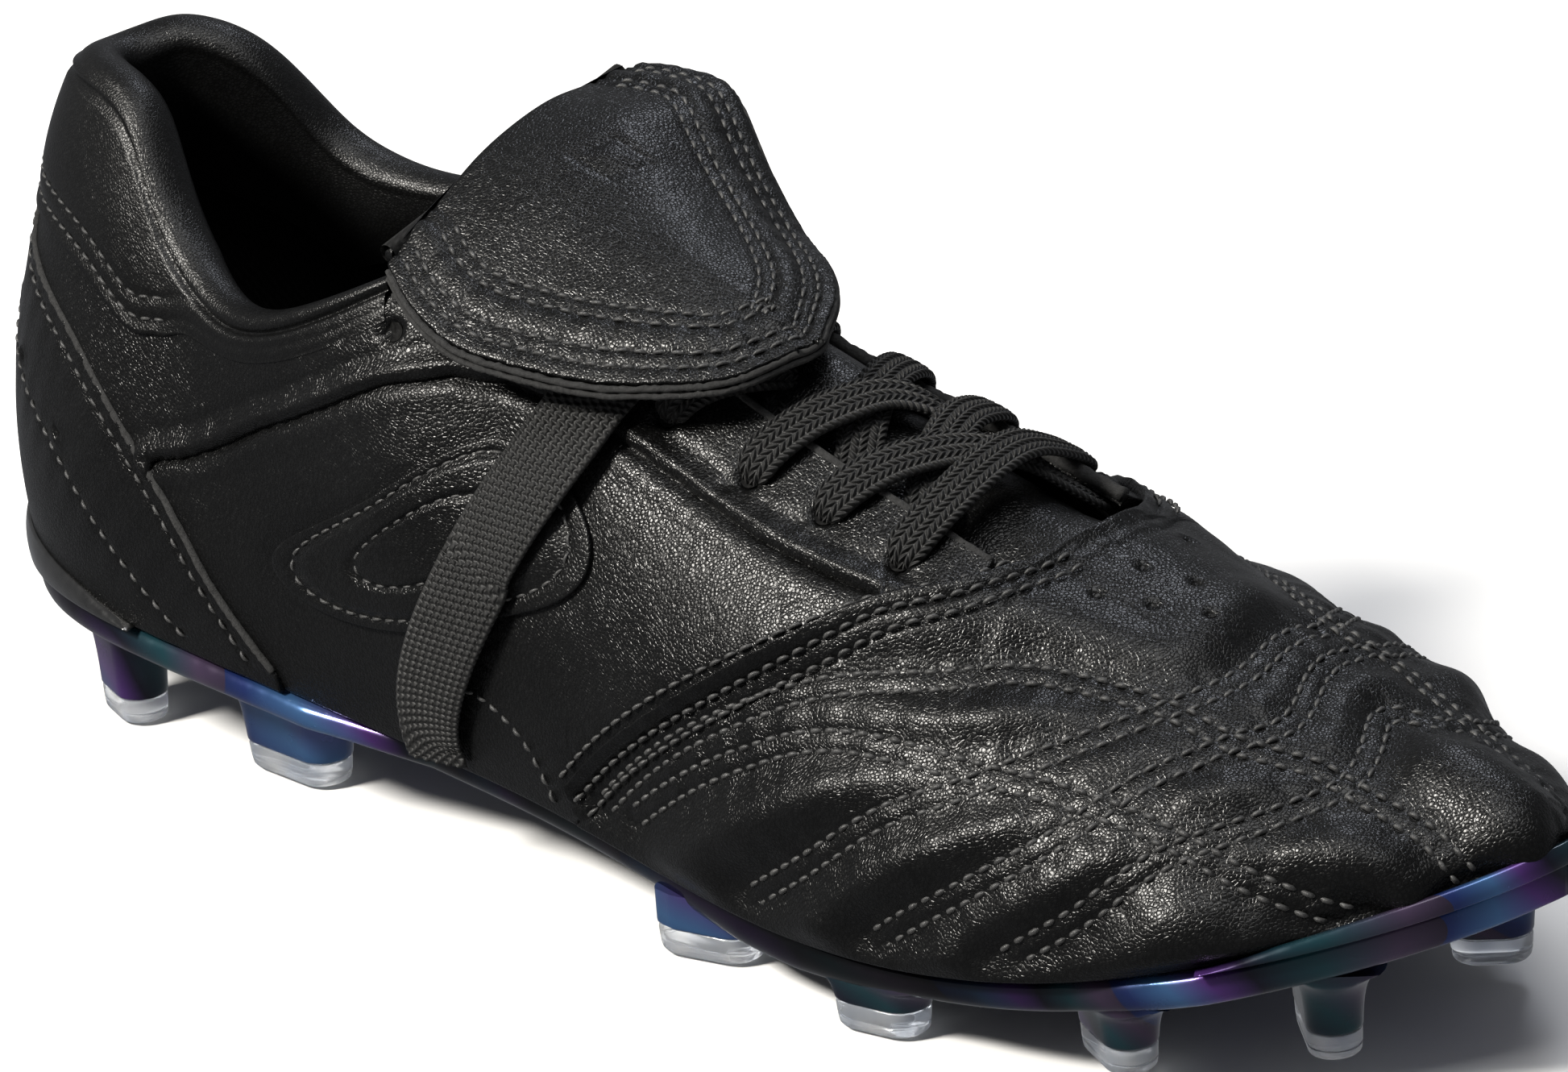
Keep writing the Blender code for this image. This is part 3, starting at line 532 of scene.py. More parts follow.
def leather(name, tone=0.016, grain=1.0, rough=(0.33, 0.5), depth=1.0):
    """Full-grain leather: pebbles about a millimetre wide, fine pores and soft creases."""
    look = Look(name, Specular_IOR_Level=0.20)
    drift = look.noise(260, 2)
    warped = look.add("ShaderNodeVectorMath", {0: look.place}, operation="ADD")
    small = look.add("ShaderNodeVectorMath", {0: drift}, operation="SCALE")
    small.inputs["Scale"].default_value = 0.0008
    look.tree.links.new(small.outputs[0], warped.inputs[1])
    at = warped.outputs[0]
    pebble = look.cells(1750 / grain, at)
    dome = look.span(pebble, 0.05, 0.62, 1.0, 0.0)
    crack = look.cells(1750 / grain, at, feature="DISTANCE_TO_EDGE")
    valley = look.span(crack, 0.0, 0.14, 0.0, 1.0)
    pores = look.noise(3400, 3)
    crease = look.noise(120, 5, 0.62, at)
    height = look.maths("ADD", look.maths("MULTIPLY", dome, 0.55), look.maths("MULTIPLY", valley, 0.45))
    height = look.maths("ADD", height, look.maths("MULTIPLY", pores, 0.25))
    soft = look.bump(crease, 0.00018 * depth)
    look.normal(look.bump(height, 0.000062 * depth, soft))
    # Colour: random patches of tone, which the leather really has, and pebble tops lighter than the crevices
    # between them, which is painted shade.
    patch = look.noise(38, 3)
    shade = look.maths("ADD", look.maths("MULTIPLY", patch, 0.6), look.maths("MULTIPLY", dome, 0.4))
    look.colour(look.ramp(shade, ((0.25, grey(tone * 0.55)), (0.75, grey(tone * 1.35, -0.03)))))
    look.rough(look.span(look.maths("ADD", patch, pores), 0.6, 1.4, *rough))
    return look.material


def cloth(name, tone=0.02, thread=0.55, rough=(0.75, 0.95), depth=0.0002):
    """A fine plain weave."""
    look = Look(name, Sheen_Weight=0.02, Specular_IOR_Level=0.15)
    pitch = 1000 / thread / 6.283
    waves = {"Vector": look.place, "Scale": pitch, "Distortion": 0.6, "Detail": 1.0}
    one, two = [look.add("ShaderNodeTexWave", waves, bands_direction=way) for way in ("X", "DIAGONAL")]
    weave = look.maths("MULTIPLY", one.outputs[1], two.outputs[1])
    fuzz = look.noise(2200, 3)
    height = look.maths("ADD", weave, look.maths("MULTIPLY", fuzz, 0.5))
    look.normal(look.bump(height, depth))
    # The colour follows the height: the low spots between the threads are darker, which is painted shade, and
    # the fuzz adds real random tone.
    look.colour(look.ramp(height, ((0.2, grey(tone * 0.6)), (1.0, grey(tone * 1.4)))))
    look.rough(look.span(fuzz, 0.3, 0.7, *rough))
    return look.material


def yarn(name, tone=0.035, rough=(0.45, 0.7), weave=None):
    """Polyester yarn of laces, strap and thread; weave adds the small relief of the braid, and painted shade
    in its hollows.
    """
    look = Look(name, Sheen_Weight=0.02, Specular_IOR_Level=0.27)
    fibre = look.noise(2600, 4, 0.7)
    tint = look.noise(300, 2)
    fine = look.bump(fibre, 0.00012)
    if weave:
        height = weave(look)
        look.normal(look.bump(height, 0.0005, fine))
        # The braid's height goes into the colour as well: darker in its hollows is painted shade, on top of
        # the real fibre and tint variation.
        fibre = look.maths("ADD", look.maths("MULTIPLY", height, 0.75), look.maths("MULTIPLY", fibre, 0.3))
    else:
        look.normal(fine)
    mixed = look.maths("ADD", look.maths("MULTIPLY", fibre, 0.6), look.maths("MULTIPLY", tint, 0.4))
    look.colour(look.ramp(mixed, ((0.3, grey(tone * 0.5)), (0.72, grey(tone * 1.5)))))
    look.rough(look.span(fibre, 0.3, 0.7, *rough))
    return look.material


def woven(half, pitch, turn, lean):
    """Height of a flat weave from its map: u runs along the band and w across it, in centimetres."""
    def weave(look):
        parts = look.add("ShaderNodeSeparateXYZ", {0: look.add("ShaderNodeTexCoord").outputs["UV"]}).outputs
        u = look.maths("MULTIPLY", parts[0], 10.0)
        across = look.maths("DIVIDE", look.maths("ADD", look.maths("MULTIPLY", parts[1], 10.0), half), pitch)
        inside = look.maths("FRACT", across, 0.0)
        odd = look.maths("MODULO", look.maths("FLOOR", across, 0.0), 2.0)
        way = look.maths("SUBTRACT", 1.0, look.maths("MULTIPLY", odd, 2.0))
        slope = look.maths("MULTIPLY", look.maths("MULTIPLY", way, inside), lean)
        phase = look.maths("ADD", look.maths("DIVIDE", u, turn), slope)
        phase = look.maths("ADD", phase, look.maths("MULTIPLY", odd, 0.0 if lean else 0.5))
        wave = look.maths("SINE", look.maths("MULTIPLY", phase, 2 * math.pi), 0.0)
        rib = look.maths("SINE", look.maths("MULTIPLY", inside, math.pi), 0.0)
        raised = look.maths("ADD", look.maths("MULTIPLY", wave, 0.5), 0.5)
        return look.maths("MULTIPLY", raised, rib)
    return weave


def raw_edge(name, tone=0.09):
    """The cut edge of leather, fibrous and paler than its face."""
    look = Look(name, Specular_IOR_Level=0.2)
    fibre = look.noise(1500, 5, 0.75)
    look.normal(look.bump(fibre, 0.0004))
    look.colour(look.ramp(fibre, ((0.3, grey(tone * 0.35)), (0.7, grey(tone * 1.3)))))
    look.rough(look.span(fibre, 0.3, 0.7, 0.7, 0.95))
    return look.material


def gloss_plastic(name):
    look = Look(name, Specular_IOR_Level=0.6, Coat_Weight=0.5, Coat_Roughness=0.08)
    scuff = look.noise(420, 4, 0.6)
    look.colour(look.ramp(scuff, ((0.3, grey(0.004)), (0.7, grey(0.009)))))
    look.rough(look.span(scuff, 0.35, 0.7, 0.10, 0.24))
    look.normal(look.bump(look.noise(90, 2), 0.0004))
    return look.material


# How much of the film shows along the shoe: at the heel and the toe, hardly between.
FILM_SHARE = ((0.0, grey(0.05)), (0.09, grey(0.08)), (0.15, grey(1.0)), (0.30, grey(0.9)), (0.36, grey(0.08)),
              (0.76, grey(0.08)), (0.86, grey(0.9)), (1.0, grey(1.0)))


def iridescent(name, bright=1.0, fading=False):
    """Dark plastic under a film that throws blue, violet and green bands."""
    look = Look(name, Metallic=0.55, Coat_Weight=0.25, Coat_Roughness=0.08, Specular_IOR_Level=0.4)
    drift = look.noise(22, 2)
    drawn_out = {"Vector": look.place, "Scale": 11.0, "Distortion": 9.0, "Detail": 1.5, "Detail Scale": 1.2}
    bands = look.add("ShaderNodeTexWave", drawn_out, bands_direction="DIAGONAL", wave_profile="SAW")
    value = look.maths("ADD", look.maths("MULTIPLY", bands.outputs[1], 0.75),
                       look.maths("MULTIPLY", drift, 0.3))
    tones = ((0.0, (0.004, 0.005, 0.010)), (0.20, (0.010, 0.020, 0.090)), (0.33, (0.035, 0.09, 0.20)),
             (0.45, (0.060, 0.022, 0.13)), (0.56, (0.006, 0.005, 0.014)), (0.70, (0.008, 0.035, 0.045)),
             (0.83, (0.045, 0.030, 0.06)), (1.0, (0.005, 0.005, 0.01)))
    film = look.ramp(value, [(p, tuple(c * bright for c in colour)) for p, colour in tones])
    if fading:
        lengthwise = look.add("ShaderNodeSeparateXYZ", {0: look.place}).outputs[0]
        bare = look.ramp(look.span(lengthwise, -0.142, 0.143, 0.0, 1.0), FILM_SHARE)
        film = look.add("ShaderNodeMix", {6: film, 7: bare}, data_type="RGBA", blend_type="MULTIPLY")
        film.inputs[0].default_value = 1.0
        film = film.outputs[2]
    look.colour(film)
    look.rough(look.span(look.noise(300, 3), 0.3, 0.7, 0.16, 0.28))
    look.normal(look.bump(look.noise(60, 2), 0.0006))
    return look.material


def clear_plastic(name):
    look = Look(name, Transmission_Weight=0.85, IOR=1.46, Coat_Weight=0.3, Coat_Roughness=0.03)
    cloud = look.noise(160, 3)
    look.colour(look.ramp(cloud, ((0.35, (0.62, 0.68, 0.78)), (0.65, (0.93, 0.95, 0.98)))))
    look.rough(look.span(cloud, 0.3, 0.7, 0.04, 0.16))
    return look.material


def foam_look(name):
    look = Look(name, Specular_IOR_Level=0.2)
    bubbles = look.cells(1400)
    look.normal(look.bump(bubbles, 0.0003))
    look.colour(look.ramp(bubbles, ((0.1, grey(0.11)), (0.6, grey(0.05)))))
    look.rough(look.span(bubbles, 0.1, 0.6, 0.85, 0.98))
    return look.material


def fibre_look(name, tone, warm):
    """Pressed fibre, as in an insole board or a stiffener."""
    look = Look(name, Specular_IOR_Level=0.3)
    fibre = look.noise(700, 5, 0.7)
    look.normal(look.bump(fibre, 0.00025))
    look.colour(look.ramp(fibre, ((0.3, grey(tone * 0.75, warm)), (0.7, grey(tone * 1.15, warm)))))
    look.rough(look.span(fibre, 0.3, 0.7, 0.6, 0.9))
    return look.material


LEATHER = leather("upper_leather", tone=0.0026, rough=(0.22, 0.34))
SMOOTH_LEATHER = leather("collar_leather", tone=0.0026, grain=0.85, rough=(0.26, 0.38), depth=0.7)
LINING = cloth("lining_cloth", tone=0.004)
RAW = raw_edge("cut_edge", tone=0.022)
THREAD = yarn("thread", tone=0.028, rough=(0.25, 0.42))
LACE = yarn("lace_yarn", tone=0.0075, weave=woven(3.5, 1.17, 1.15, 0.9))
STRAP = yarn("strap_yarn", tone=0.0065, weave=woven(6.5, 1.2, 1.25, 0.0))
PLATE = iridescent("iridescent_plastic", fading=True)
STUD = iridescent("iridescent_stud_plastic", bright=0.8)
CUP = gloss_plastic("gloss_plastic")
CLEAR = clear_plastic("clear_tip_plastic")
# Painted shade: near-black discs laid in the eyelets and perforations stand in for the shadow inside the
# holes.
PAINTED_HOLE_SHADE = cloth("hole_shadow", tone=0.002)


# ------------------------------------------------------------------ curves of the upper, as (s, v)

BACKSTAY_EDGE = ((0, 0.665), (8, 0.65), (12, 0.57), (33, 0.45), (53, 0.33), (64, 0.17), (74, 0.03))
COLLAR_EDGE = ((0, 0.67), (14, 0.64), (41, 0.60), (54, 0.70), (65, 0.83), (80, 0.87), (103, 0.88))
GROOVE = ((50, 0.37), (60, 0.47), (70, 0.59), (82, 0.71), (99, 0.75), (112, 0.68), (125, 0.60), (161, 0.60),
          (176, 0.61), (191, 0.63))
THROAT_EDGE = ((103, 0.93), (125, 0.83), (150, 0.80), (201, 0.79))
VAMP_EDGE = ((136, 0.05), (163, 0.31), (181, 0.50), (191, 0.62), (200, 0.72), (206, 0.86), (208, 1.0))
VAMP_FROM, VAMP_JOINS = 137, 208
SEAM = 0.006


def smooth_edge(curve):
    """The curve as a dense smooth table, so that np.interp follows it without corners."""
    dense = smooth_path(curve)
    keep = np.append(True, np.diff(np.maximum.accumulate(dense[:, 0])) > 0)
    return dense[keep]


BACKSTAY = smooth_edge(BACKSTAY_EDGE)
COLLAR = smooth_edge(COLLAR_EDGE)
GROOVE_LINE = smooth_edge(GROOVE)
THROAT = smooth_edge(THROAT_EDGE)
VAMP_LINE = smooth_edge(VAMP_EDGE)


def at_edge(table, s):
    return np.interp(s, table[:, 0], table[:, 1])


def run_on_last(path, step=0.6, offset=0.0):
    """A smooth run over the last through (s, v) spots: dense points and normals."""
    spots = smooth_path(path)
    points, normals = skin(np.clip(spots[:, 0], 0, TOE), spots[:, 1], offset)
    line = evenly(np.hstack((points, normals)), step)
    return line[:, :3], unit(line[:, 3:])


def mirrored(path):
    """The same (s, v) path on the shoe's other side."""
    return [(s, 2 - v) for s, v in path]


# ------------------------------------------------------------------ vamp

# Quilting seams of the vamp, each sewn in a double row.
QUILT = (
    ((143, 0.05), (163, 0.24), (184, 0.42), (202, 0.54), (216, 0.65), (235, 0.69), (248, 0.66), (263, 0.64),
     (275, 0.42), (279, 0.05)),
    ((150, 0.06), (172, 0.24), (191, 0.36), (217, 0.42), (230, 0.42), (244, 0.37), (257, 0.23), (268, 0.04)),
    ((176, 0.04), (189, 0.14), (203, 0.28), (216, 0.41), (234, 0.65), (244, 0.88), (242, 1.19)),
    ((201, 0.04), (216, 0.17), (229, 0.32), (237, 0.47), (247, 0.65), (255, 0.84), (247, 1.31)),
    ((223, 0.04), (235, 0.15), (245, 0.31), (259, 0.49), (268, 0.70), (272, 1.25)),
    ((150, 1.93), (178, 1.72), (198, 1.52), (213, 1.40), (238, 1.24), (252, 1.30), (268, 1.39), (280, 1.55),
     (284, 1.90)),
    ((242, 1.19), (226, 1.52), (210, 1.75), (192, 1.95)),
    ((247, 1.31), (238, 1.60), (224, 1.82), (214, 1.96)),
    ((272, 1.25), (264, 1.55), (252, 1.80), (240, 1.96)),
)
QUILT_HALF = 1.45  # from a seam's middle to each of its two rows
PUFF = 3.7
PUFF_REACH = 5.2
VALLEY = -1.5
PERFORATIONS = ((216, 0.84), (218, 0.95), (215, 1.15), (224, 0.88), (226, 0.99), (233, 0.92))


def nearest(points, line):
    """For each point: the distance to a dense line, and how far along the line that is."""
    tree = KDTree(len(line))
    for i, p in enumerate(line):
        tree.insert(p, i)
    tree.balance()
    found = [tree.find(p) for p in points.reshape(-1, 3)]
    run = np.append(0, np.cumsum(np.linalg.norm(np.diff(line, axis=0), axis=1)))
    away = np.array([f[2] for f in found]).reshape(points.shape[:-1])
    along = run[np.array([f[1] for f in found])].reshape(points.shape[:-1])
    return away, along


def step_down(value, width):
    """Falls smoothly from 1 to 0 as value passes 0."""
    return 0.5 - 0.5 * np.tanh(value / (2 * width))


def ripple(along, away, pitch, phase):
    """Creases that run out of a seam and die away."""
    wobble = np.sin(along / pitch * 2 * math.pi + phase + 1.7 * np.sin(along / pitch / 2.7 + phase))
    return wobble * np.exp(-((away / 5.5) ** 2))


def swell(points):
    """Slow uneven bulging of the leather, -1 to 1."""
    x, y, z = points[..., 0], points[..., 1], points[..., 2]
    return (np.sin(x / 9.0 + 1.3 * np.sin(y / 7.0)) + np.sin(y / 6.1 + z / 8.3 + 0.8) * 0.7
            + np.sin((x + z) / 4.7 + 2.1) * 0.4) / 2.1


QUILT_RUNS = [run_on_last(path, 0.8) for path in QUILT]


def quilt_relief(points, s, v):
    """Height of the quilted leather over the last."""
    fill = np.ones(points.shape[:-1])
    creases = np.zeros_like(fill)
    press = np.zeros_like(fill)
    for i, (line, _) in enumerate(QUILT_RUNS):
        away, along = nearest(points, line)
        past = np.maximum(away - QUILT_HALF, 0)
        fill *= 1 - np.exp(-((past / PUFF_REACH) ** 2))
        creases += 0.11 * ripple(along, past, 6.3, i) + 0.05 * ripple(along, past * 1.8, 3.1, 2 * i)
        row = np.exp(-(((away - QUILT_HALF) / 0.55) ** 2))
        press = np.maximum(press, row * (0.75 + 0.25 * np.cos(along / 2.8 * 2 * math.pi)))
    plain = plain_share(s, v)
    calm = 1 - 0.35 * np.clip((v - 1.05) / 0.15, 0, 1)
    puff = PUFF * (1 - 0.45 * plain) * calm
    return (VALLEY * calm + fill * puff + creases * (1 - 0.7 * plain) + 0.10 * swell(points) * fill
            - 0.36 * press)


def plain_share(s, v):
    """1 on the flat panel in front of the throat, 0 on the quilted leather."""
    ahead = np.clip((240 - s) / 14, 0, 1)
    inside = np.clip((v - 0.72) / 0.12, 0, 1) * np.clip((1.34 - v) / 0.12, 0, 1)
    return ahead * inside


def vamp_border(points, v):
    """The vamp dips where it is sewn down at its back edge, and hugs the plate at its foot."""
    t = height_share(v)
    foot = -0.2 * np.exp(-((t / 0.05) ** 2))
    edge_line = np.vstack((VAMP_RUN[0], VAMP_RUN_MEDIAL[0]))
    away, along = nearest(points, edge_line)
    lip = 0.55 * np.exp(-((away / 1.6) ** 2)) - 0.45 * np.exp(-(((away - 2.2) / 0.5) ** 2))
    lip -= 0.45 * np.exp(-(((away - 5.0) / 0.5) ** 2))
    return foot + lip + 0.12 * ripple(along, away, 5.0, 0.4)


VAMP_SEAM = [*VAMP_EDGE[:-1], (208, 0.985)]
VAMP_RUN = run_on_last(VAMP_SEAM, 0.8)
VAMP_RUN_MEDIAL = run_on_last(mirrored(VAMP_SEAM), 0.8)


def vamp_relief(points, s, v):
    height = quilt_relief(points, s, v)
    off_foot = 1 - np.exp(-((height_share(v) / 0.035) ** 2))
    height = height * off_foot
    dip = np.zeros_like(height)
    for spot in PERFORATIONS:
        centre = on_last(*spot)
        away = np.linalg.norm(points - centre, axis=-1)
        dip += -0.9 * np.exp(-((away / 0.85) ** 2)) + 0.14 * np.exp(-(((away - 1.5) / 0.5) ** 2))
    return np.maximum(height + vamp_border(points, v), -1.75) + dip


def vamp():
    fine = detail(0.85, 1.6)
    one = even_stations(-1, VAMP_FROM, VAMP_JOINS, fine)
    shared = even_stations(-1, VAMP_JOINS, TOE, fine)
    rows_s = np.concatenate((one, shared[1:], shared[::-1][1:], one[::-1][1:]))
    half = len(one) + len(shared) - 1
    sides = np.concatenate((-np.ones(half), np.ones(len(rows_s) - half)))
    high = np.where(rows_s < VAMP_JOINS, np.interp(rows_s, VAMP_LINE[:, 0], VAMP_LINE[:, 1]), 1.0)
    cols = detail(130, 78)
    share = np.linspace(0, 1, cols)
    t = SEAM + (high[:, None] - SEAM) * share
    s = np.repeat(rows_s[:, None], cols, 1)
    v = np.where(sides[:, None] < 0, t, 2 - t)
    base, normals = skin(s, v)
    relief = vamp_relief(base, s, v)
    points = base + normals * relief[..., None]
    points, normals = hem(points, normals, 1.6, sides="blr")
    back = rows_s < VAMP_JOINS - 0.01
    lip, _ = hem(points[3:-3], normals[3:-3], 1.5, sides="t")
    lip = lip[:, -4:]
    faces = grid_faces(points.shape[0], points.shape[1])
    start = points.shape[0] * points.shape[1]
    keep = np.repeat((back[:-1] | back[1:])[:, None], 3, 1)
    faces += grid_faces(lip.shape[0], 4, start, keep=keep)
    every = np.vstack((points.reshape(-1, 3), lip.reshape(-1, 3)))
    made = new_object("vamp_quilted", every, faces, LEATHER, weld=0.02)
    # Painted shade: dark discs in the perforations stand in for the shadow in the holes.
    shadows = [ring_disc(s, v, 0.70, vamp_height(s, v) + 0.62) for s, v in PERFORATIONS]
    join_shapes("vamp_perforation_shadows", shadows, PAINTED_HOLE_SHADE)
    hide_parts("vamp")
    return made


def vamp_height(s, v):
    base = on_last(s, v)[None, None]
    return float(vamp_relief(base, np.full((1, 1), float(s)), np.full((1, 1), float(v)))[0, 0])


def lifted(run, relief, extra=0.0):
    """A run raised to the surface that relief gives."""
    points, normals = run
    s, v = points[:, 0] + 2.5, np.clip(1 + points[:, 1] / 70, 0.3, 1.7)  # near enough for the slow changes
    heights = relief(points[None], s[None], v[None])[0]
    return points + normals * (heights + extra)[:, None], normals


def double_rows(run, half):
    line, normals = run
    return [(beside(line, normals, shift), normals) for shift in (-half, half)]


def vamp_stitches():
    rows = []
    for run in QUILT_RUNS:
        rows += [lifted(r, quilt_relief, 0.16) for r in double_rows(run, QUILT_HALF)]
    stitches("vamp_quilt_stitches", rows, THREAD, radius=0.40, length=2.05, gap=0.75)
    rows = []
    for side, run in ((-1, VAMP_RUN), (1, VAMP_RUN_MEDIAL)):
        line, normals = run
        for inward, height in ((2.2, -0.05), (5.0, 0.0)):
            path = beside(line, normals, side * inward)
            fill = lifted((path, normals), quilt_relief, 0.35)
            keep = int(len(path) * (0.93 if side < 0 else 0.84))
            rows.append(((fill[0] + normals * height)[:keep], normals[:keep]))
        outer = beside(line, normals, -side * 1.9) + normals * 0.1
        keep = int(len(outer) * (0.86 if side < 0 else 0.70))
        rows.append((outer[:keep], normals[:keep]))
    stitches("vamp_seam_stitches", rows, THREAD, radius=0.36)


# ------------------------------------------------------------------ quarters, eyestays and backstay

def edge_run(table, first, last, side=-1, shift=0.0):
    """The dense run of an edge table on one side, between two stations."""
    s = np.linspace(first, last, 60)
    return run_on_last([(a, fold(side, at_edge(table, a) + shift)) for a in s], 0.8)


def groove_relief(side):
    line = edge_run(GROOVE_LINE, 50, 190, side)[0]

    def relief(points, s, v):
        away, _ = nearest(points, line)
        return -0.85 * np.exp(-((away / 1.0) ** 2)) + 0.25 * np.exp(-(((away - 3.0) / 1.6) ** 2))
    return relief


def quarter(side, word):
    groove = groove_relief(side)
    seam = edge_run(VAMP_LINE, 138, 192, side)[0]
    oval = oval_line(side, 1.03)

    def low(s):
        foot = np.where(s < 74, at_edge(BACKSTAY, s) - 0.02, SEAM)
        return np.where(s > 138, at_edge(VAMP_LINE, s) - 0.015, foot)

    def high(s):
        return np.maximum(at_edge(GROOVE_LINE, s) + 0.012, low(s) + 0.01)

    def relief(points, s, v):
        away, along = nearest(points, seam)
        sewn = -0.55 * np.exp(-((away / 2.2) ** 2)) + 0.10 * ripple(along, away, 5.5, 1.0)
        about, _ = nearest(points, oval)
        halo = -0.25 * np.exp(-((about / 1.6) ** 2))
        t = height_share(v)
        foot = -0.4 * np.exp(-((t / 0.04) ** 2))
        return groove(points, s, v) + sewn + foot + halo + 0.16 * swell(points * 0.55)

    rows = even_stations(side, 49, 190.5, detail(1.1, 2.0))
    made = panel(f"quarter_{word}_leather", side, rows, low, high, 1.0, LEATHER, relief)
    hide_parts(f"quarter_{word}")


def eyelet_spots(side):
    return [on_last(s, fold(side, t)) for s, t in EYELETS]


EYELETS = ((104, 0.85), (118, 0.76), (132, 0.71), (147, 0.68), (162, 0.68), (175, 0.70), (189, 0.70))
EYELET_RADIUS = 1.6


def eyestay(side, word):
    groove = edge_run(GROOVE_LINE, 50, 190, side)[0]
    throat = edge_run(THROAT, 104, 201, side)[0]
    spots = eyelet_spots(side)

    def low(s):
        foot = np.where(s < 51, at_edge(BACKSTAY, s) - 0.02, at_edge(GROOVE_LINE, s))
        return np.where(s > 190, at_edge(VAMP_LINE, s) - 0.01, foot)

    def high(s):
        return np.where(s < 103, at_edge(COLLAR, s) + 0.02, at_edge(THROAT, s))

    def relief(points, s, v):
        away, along = nearest(points, groove)
        height = 0.30 + 0.75 * np.exp(-(((away - 1.3) / 1.3) ** 2)) - 0.55 * np.exp(-((away / 0.5) ** 2))
        height += 0.10 * ripple(along, away, 7.0, 0.3) - 0.25 * np.exp(-(((away - 4.4) / 1.0) ** 2))
        at_throat, _ = nearest(points, throat)
        height += 0.25 * np.exp(-((at_throat / 1.2) ** 2)) + 0.14 * swell(points * 0.7)
        for n, spot in enumerate(spots):
            away = np.linalg.norm(points - spot, axis=-1)
            turn = np.arctan2(points[..., 2] - spot[2], points[..., 0] - spot[0])
            pull = 0.22 * np.cos(5 * turn + n) * np.exp(-(((away - 3.2) / 2.0) ** 2)) if n > 1 else 0
            height += pull - 0.35 * np.exp(-((away / 4.2) ** 2)) * (n > 1)
            height -= 1.5 * step_down(away - EYELET_RADIUS, 0.16)
        return height

    rows = even_stations(side, 7.5, 200.5, detail(0.8, 1.6))
    made = panel(f"eyestay_{word}_leather", side, rows, low, high, 0.7, LEATHER, relief, depth=1.9)
    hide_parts(f"eyestay_{word}")
    # Painted shade: dark discs sunk in the eyelets stand in for the shadow in the holes.
    rings = [ring_disc(s, fold(side, t), 1.45, -0.55) for s, t in EYELETS]
    join_shapes(f"eyelet_shadow_{word}", rings, PAINTED_HOLE_SHADE)
    lip = edge_run(THROAT, 104, 200.5, side)
    cut_edge(f"throat_cut_edge_{word}", lip, 0.7 if side < 0 else 1.15, 0.1)


def ring_disc(s, v, radius, offset, sides=20):
    """A shallow dished disc lying in a hole, used as painted shade inside it."""
    centre, normal = skin(s, v, offset)
    along = unit(np.cross(normal, (0, 0, 1.0)))
    across = np.cross(normal, along)
    points, faces = [centre - normal * 0.5], []
    for reach, drop in ((0.6, 0.45), (1.0, 0.0)):
        for i in range(sides):
            angle = 2 * math.pi * i / sides
            points.append(centre + (along * math.cos(angle) + across * math.sin(angle)) * radius * reach
                          - normal * drop)
    for i in range(sides):
        j = (i + 1) % sides
        faces.append((0, 1 + i, 1 + j))
        faces.append((1 + i, 1 + sides + i, 1 + sides + j, 1 + j))
    return points, faces


def join_shapes(name, shapes, look, body="shoe"):
    points, faces = [], []
    for more, polygons in shapes:
        start = len(points)
        points += list(more)
        faces += [tuple(start + i for i in polygon) for polygon in polygons]
    return new_object(name, np.array(points), faces, look, body)


def cut_edge(name, run, radius, lift, look=None, body="shoe"):
    """The fuzzy raw edge of a leather panel: a thin uneven cord along it."""
    line, normals = run
    chance = random.Random(name)
    wild = np.array([chance.uniform(-1, 1) for _ in line])
    wild = np.convolve(wild, (0.25, 0.5, 0.25), "same")
    made = ribbon(name, line + normals * (lift + 0.12 * wild)[:, None], normals, 2 * radius, 1.7 * radius,
                  look or RAW, body, step=0.7, cols=6,
                  pattern=lambda u, w: 0.10 * np.sin(u * 2.9 + 2 * np.sin(u)) + 0.05 * np.sin(u * 7.1))
    return made


def backstay():
    """The heel's outer panel, cut from one piece, with its raw edge turned up over the quarters."""
    side, s = around_heel(73.5, detail(0.9, 1.8))
    high = at_edge(BACKSTAY, s)
    cols = detail(70, 40)
    t = SEAM + (high[:, None] - SEAM) * np.linspace(0, 1, cols)
    v = np.where(side[:, None] < 0, t, 2 - t)
    station = np.repeat(s[:, None], cols, 1)
    base, normals = skin(station, v)
    relief = 0.5 + 0.12 * swell(base * 0.6)
    for one_side in (-1, 1):
        for path in (BACKSTAY_INNER, BACKSTAY_DOUBLE):
            line = run_on_last([(a, fold(one_side, b)) for a, b in path])[0]
            away, along = nearest(base, line)
            relief -= 0.30 * np.exp(-((away / 0.6) ** 2)) * (0.7 + 0.3 * np.cos(along / 2.8 * 2 * math.pi))
            relief += 0.10 * ripple(along, away, 6.0, one_side)
        for a, b in HEEL_HOLES:
            away = np.linalg.norm(base - on_last(a, fold(one_side, b)), axis=-1)
            relief -= 0.8 * np.exp(-((away / 0.75) ** 2)) - 0.16 * np.exp(-(((away - 1.4) / 0.4) ** 2))
    points, normals = hem(base + normals * relief[..., None], normals, 1.8, sides="tblr")
    made = new_object("heel_backstay_leather", points.reshape(-1, 3),
                      grid_faces(*points.shape[:2]), LEATHER)
    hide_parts("heel_backstay")
    rows = []
    for one_side in (-1, 1):
        word = "lateral" if one_side < 0 else "medial"
        run = run_on_last([(a, fold(one_side, at_edge(BACKSTAY, a))) for a in np.linspace(2, 73, 40)])
        cut_edge(f"backstay_cut_edge_{word}", run, 0.6, 0.2)
        for path in (BACKSTAY_INNER, BACKSTAY_DOUBLE):
            line, normal = run_on_last([(a, fold(one_side, b)) for a, b in path])
            rows.append((line + normal * 0.42, normal))
    stitches("backstay_stitches", rows, THREAD, radius=0.28)


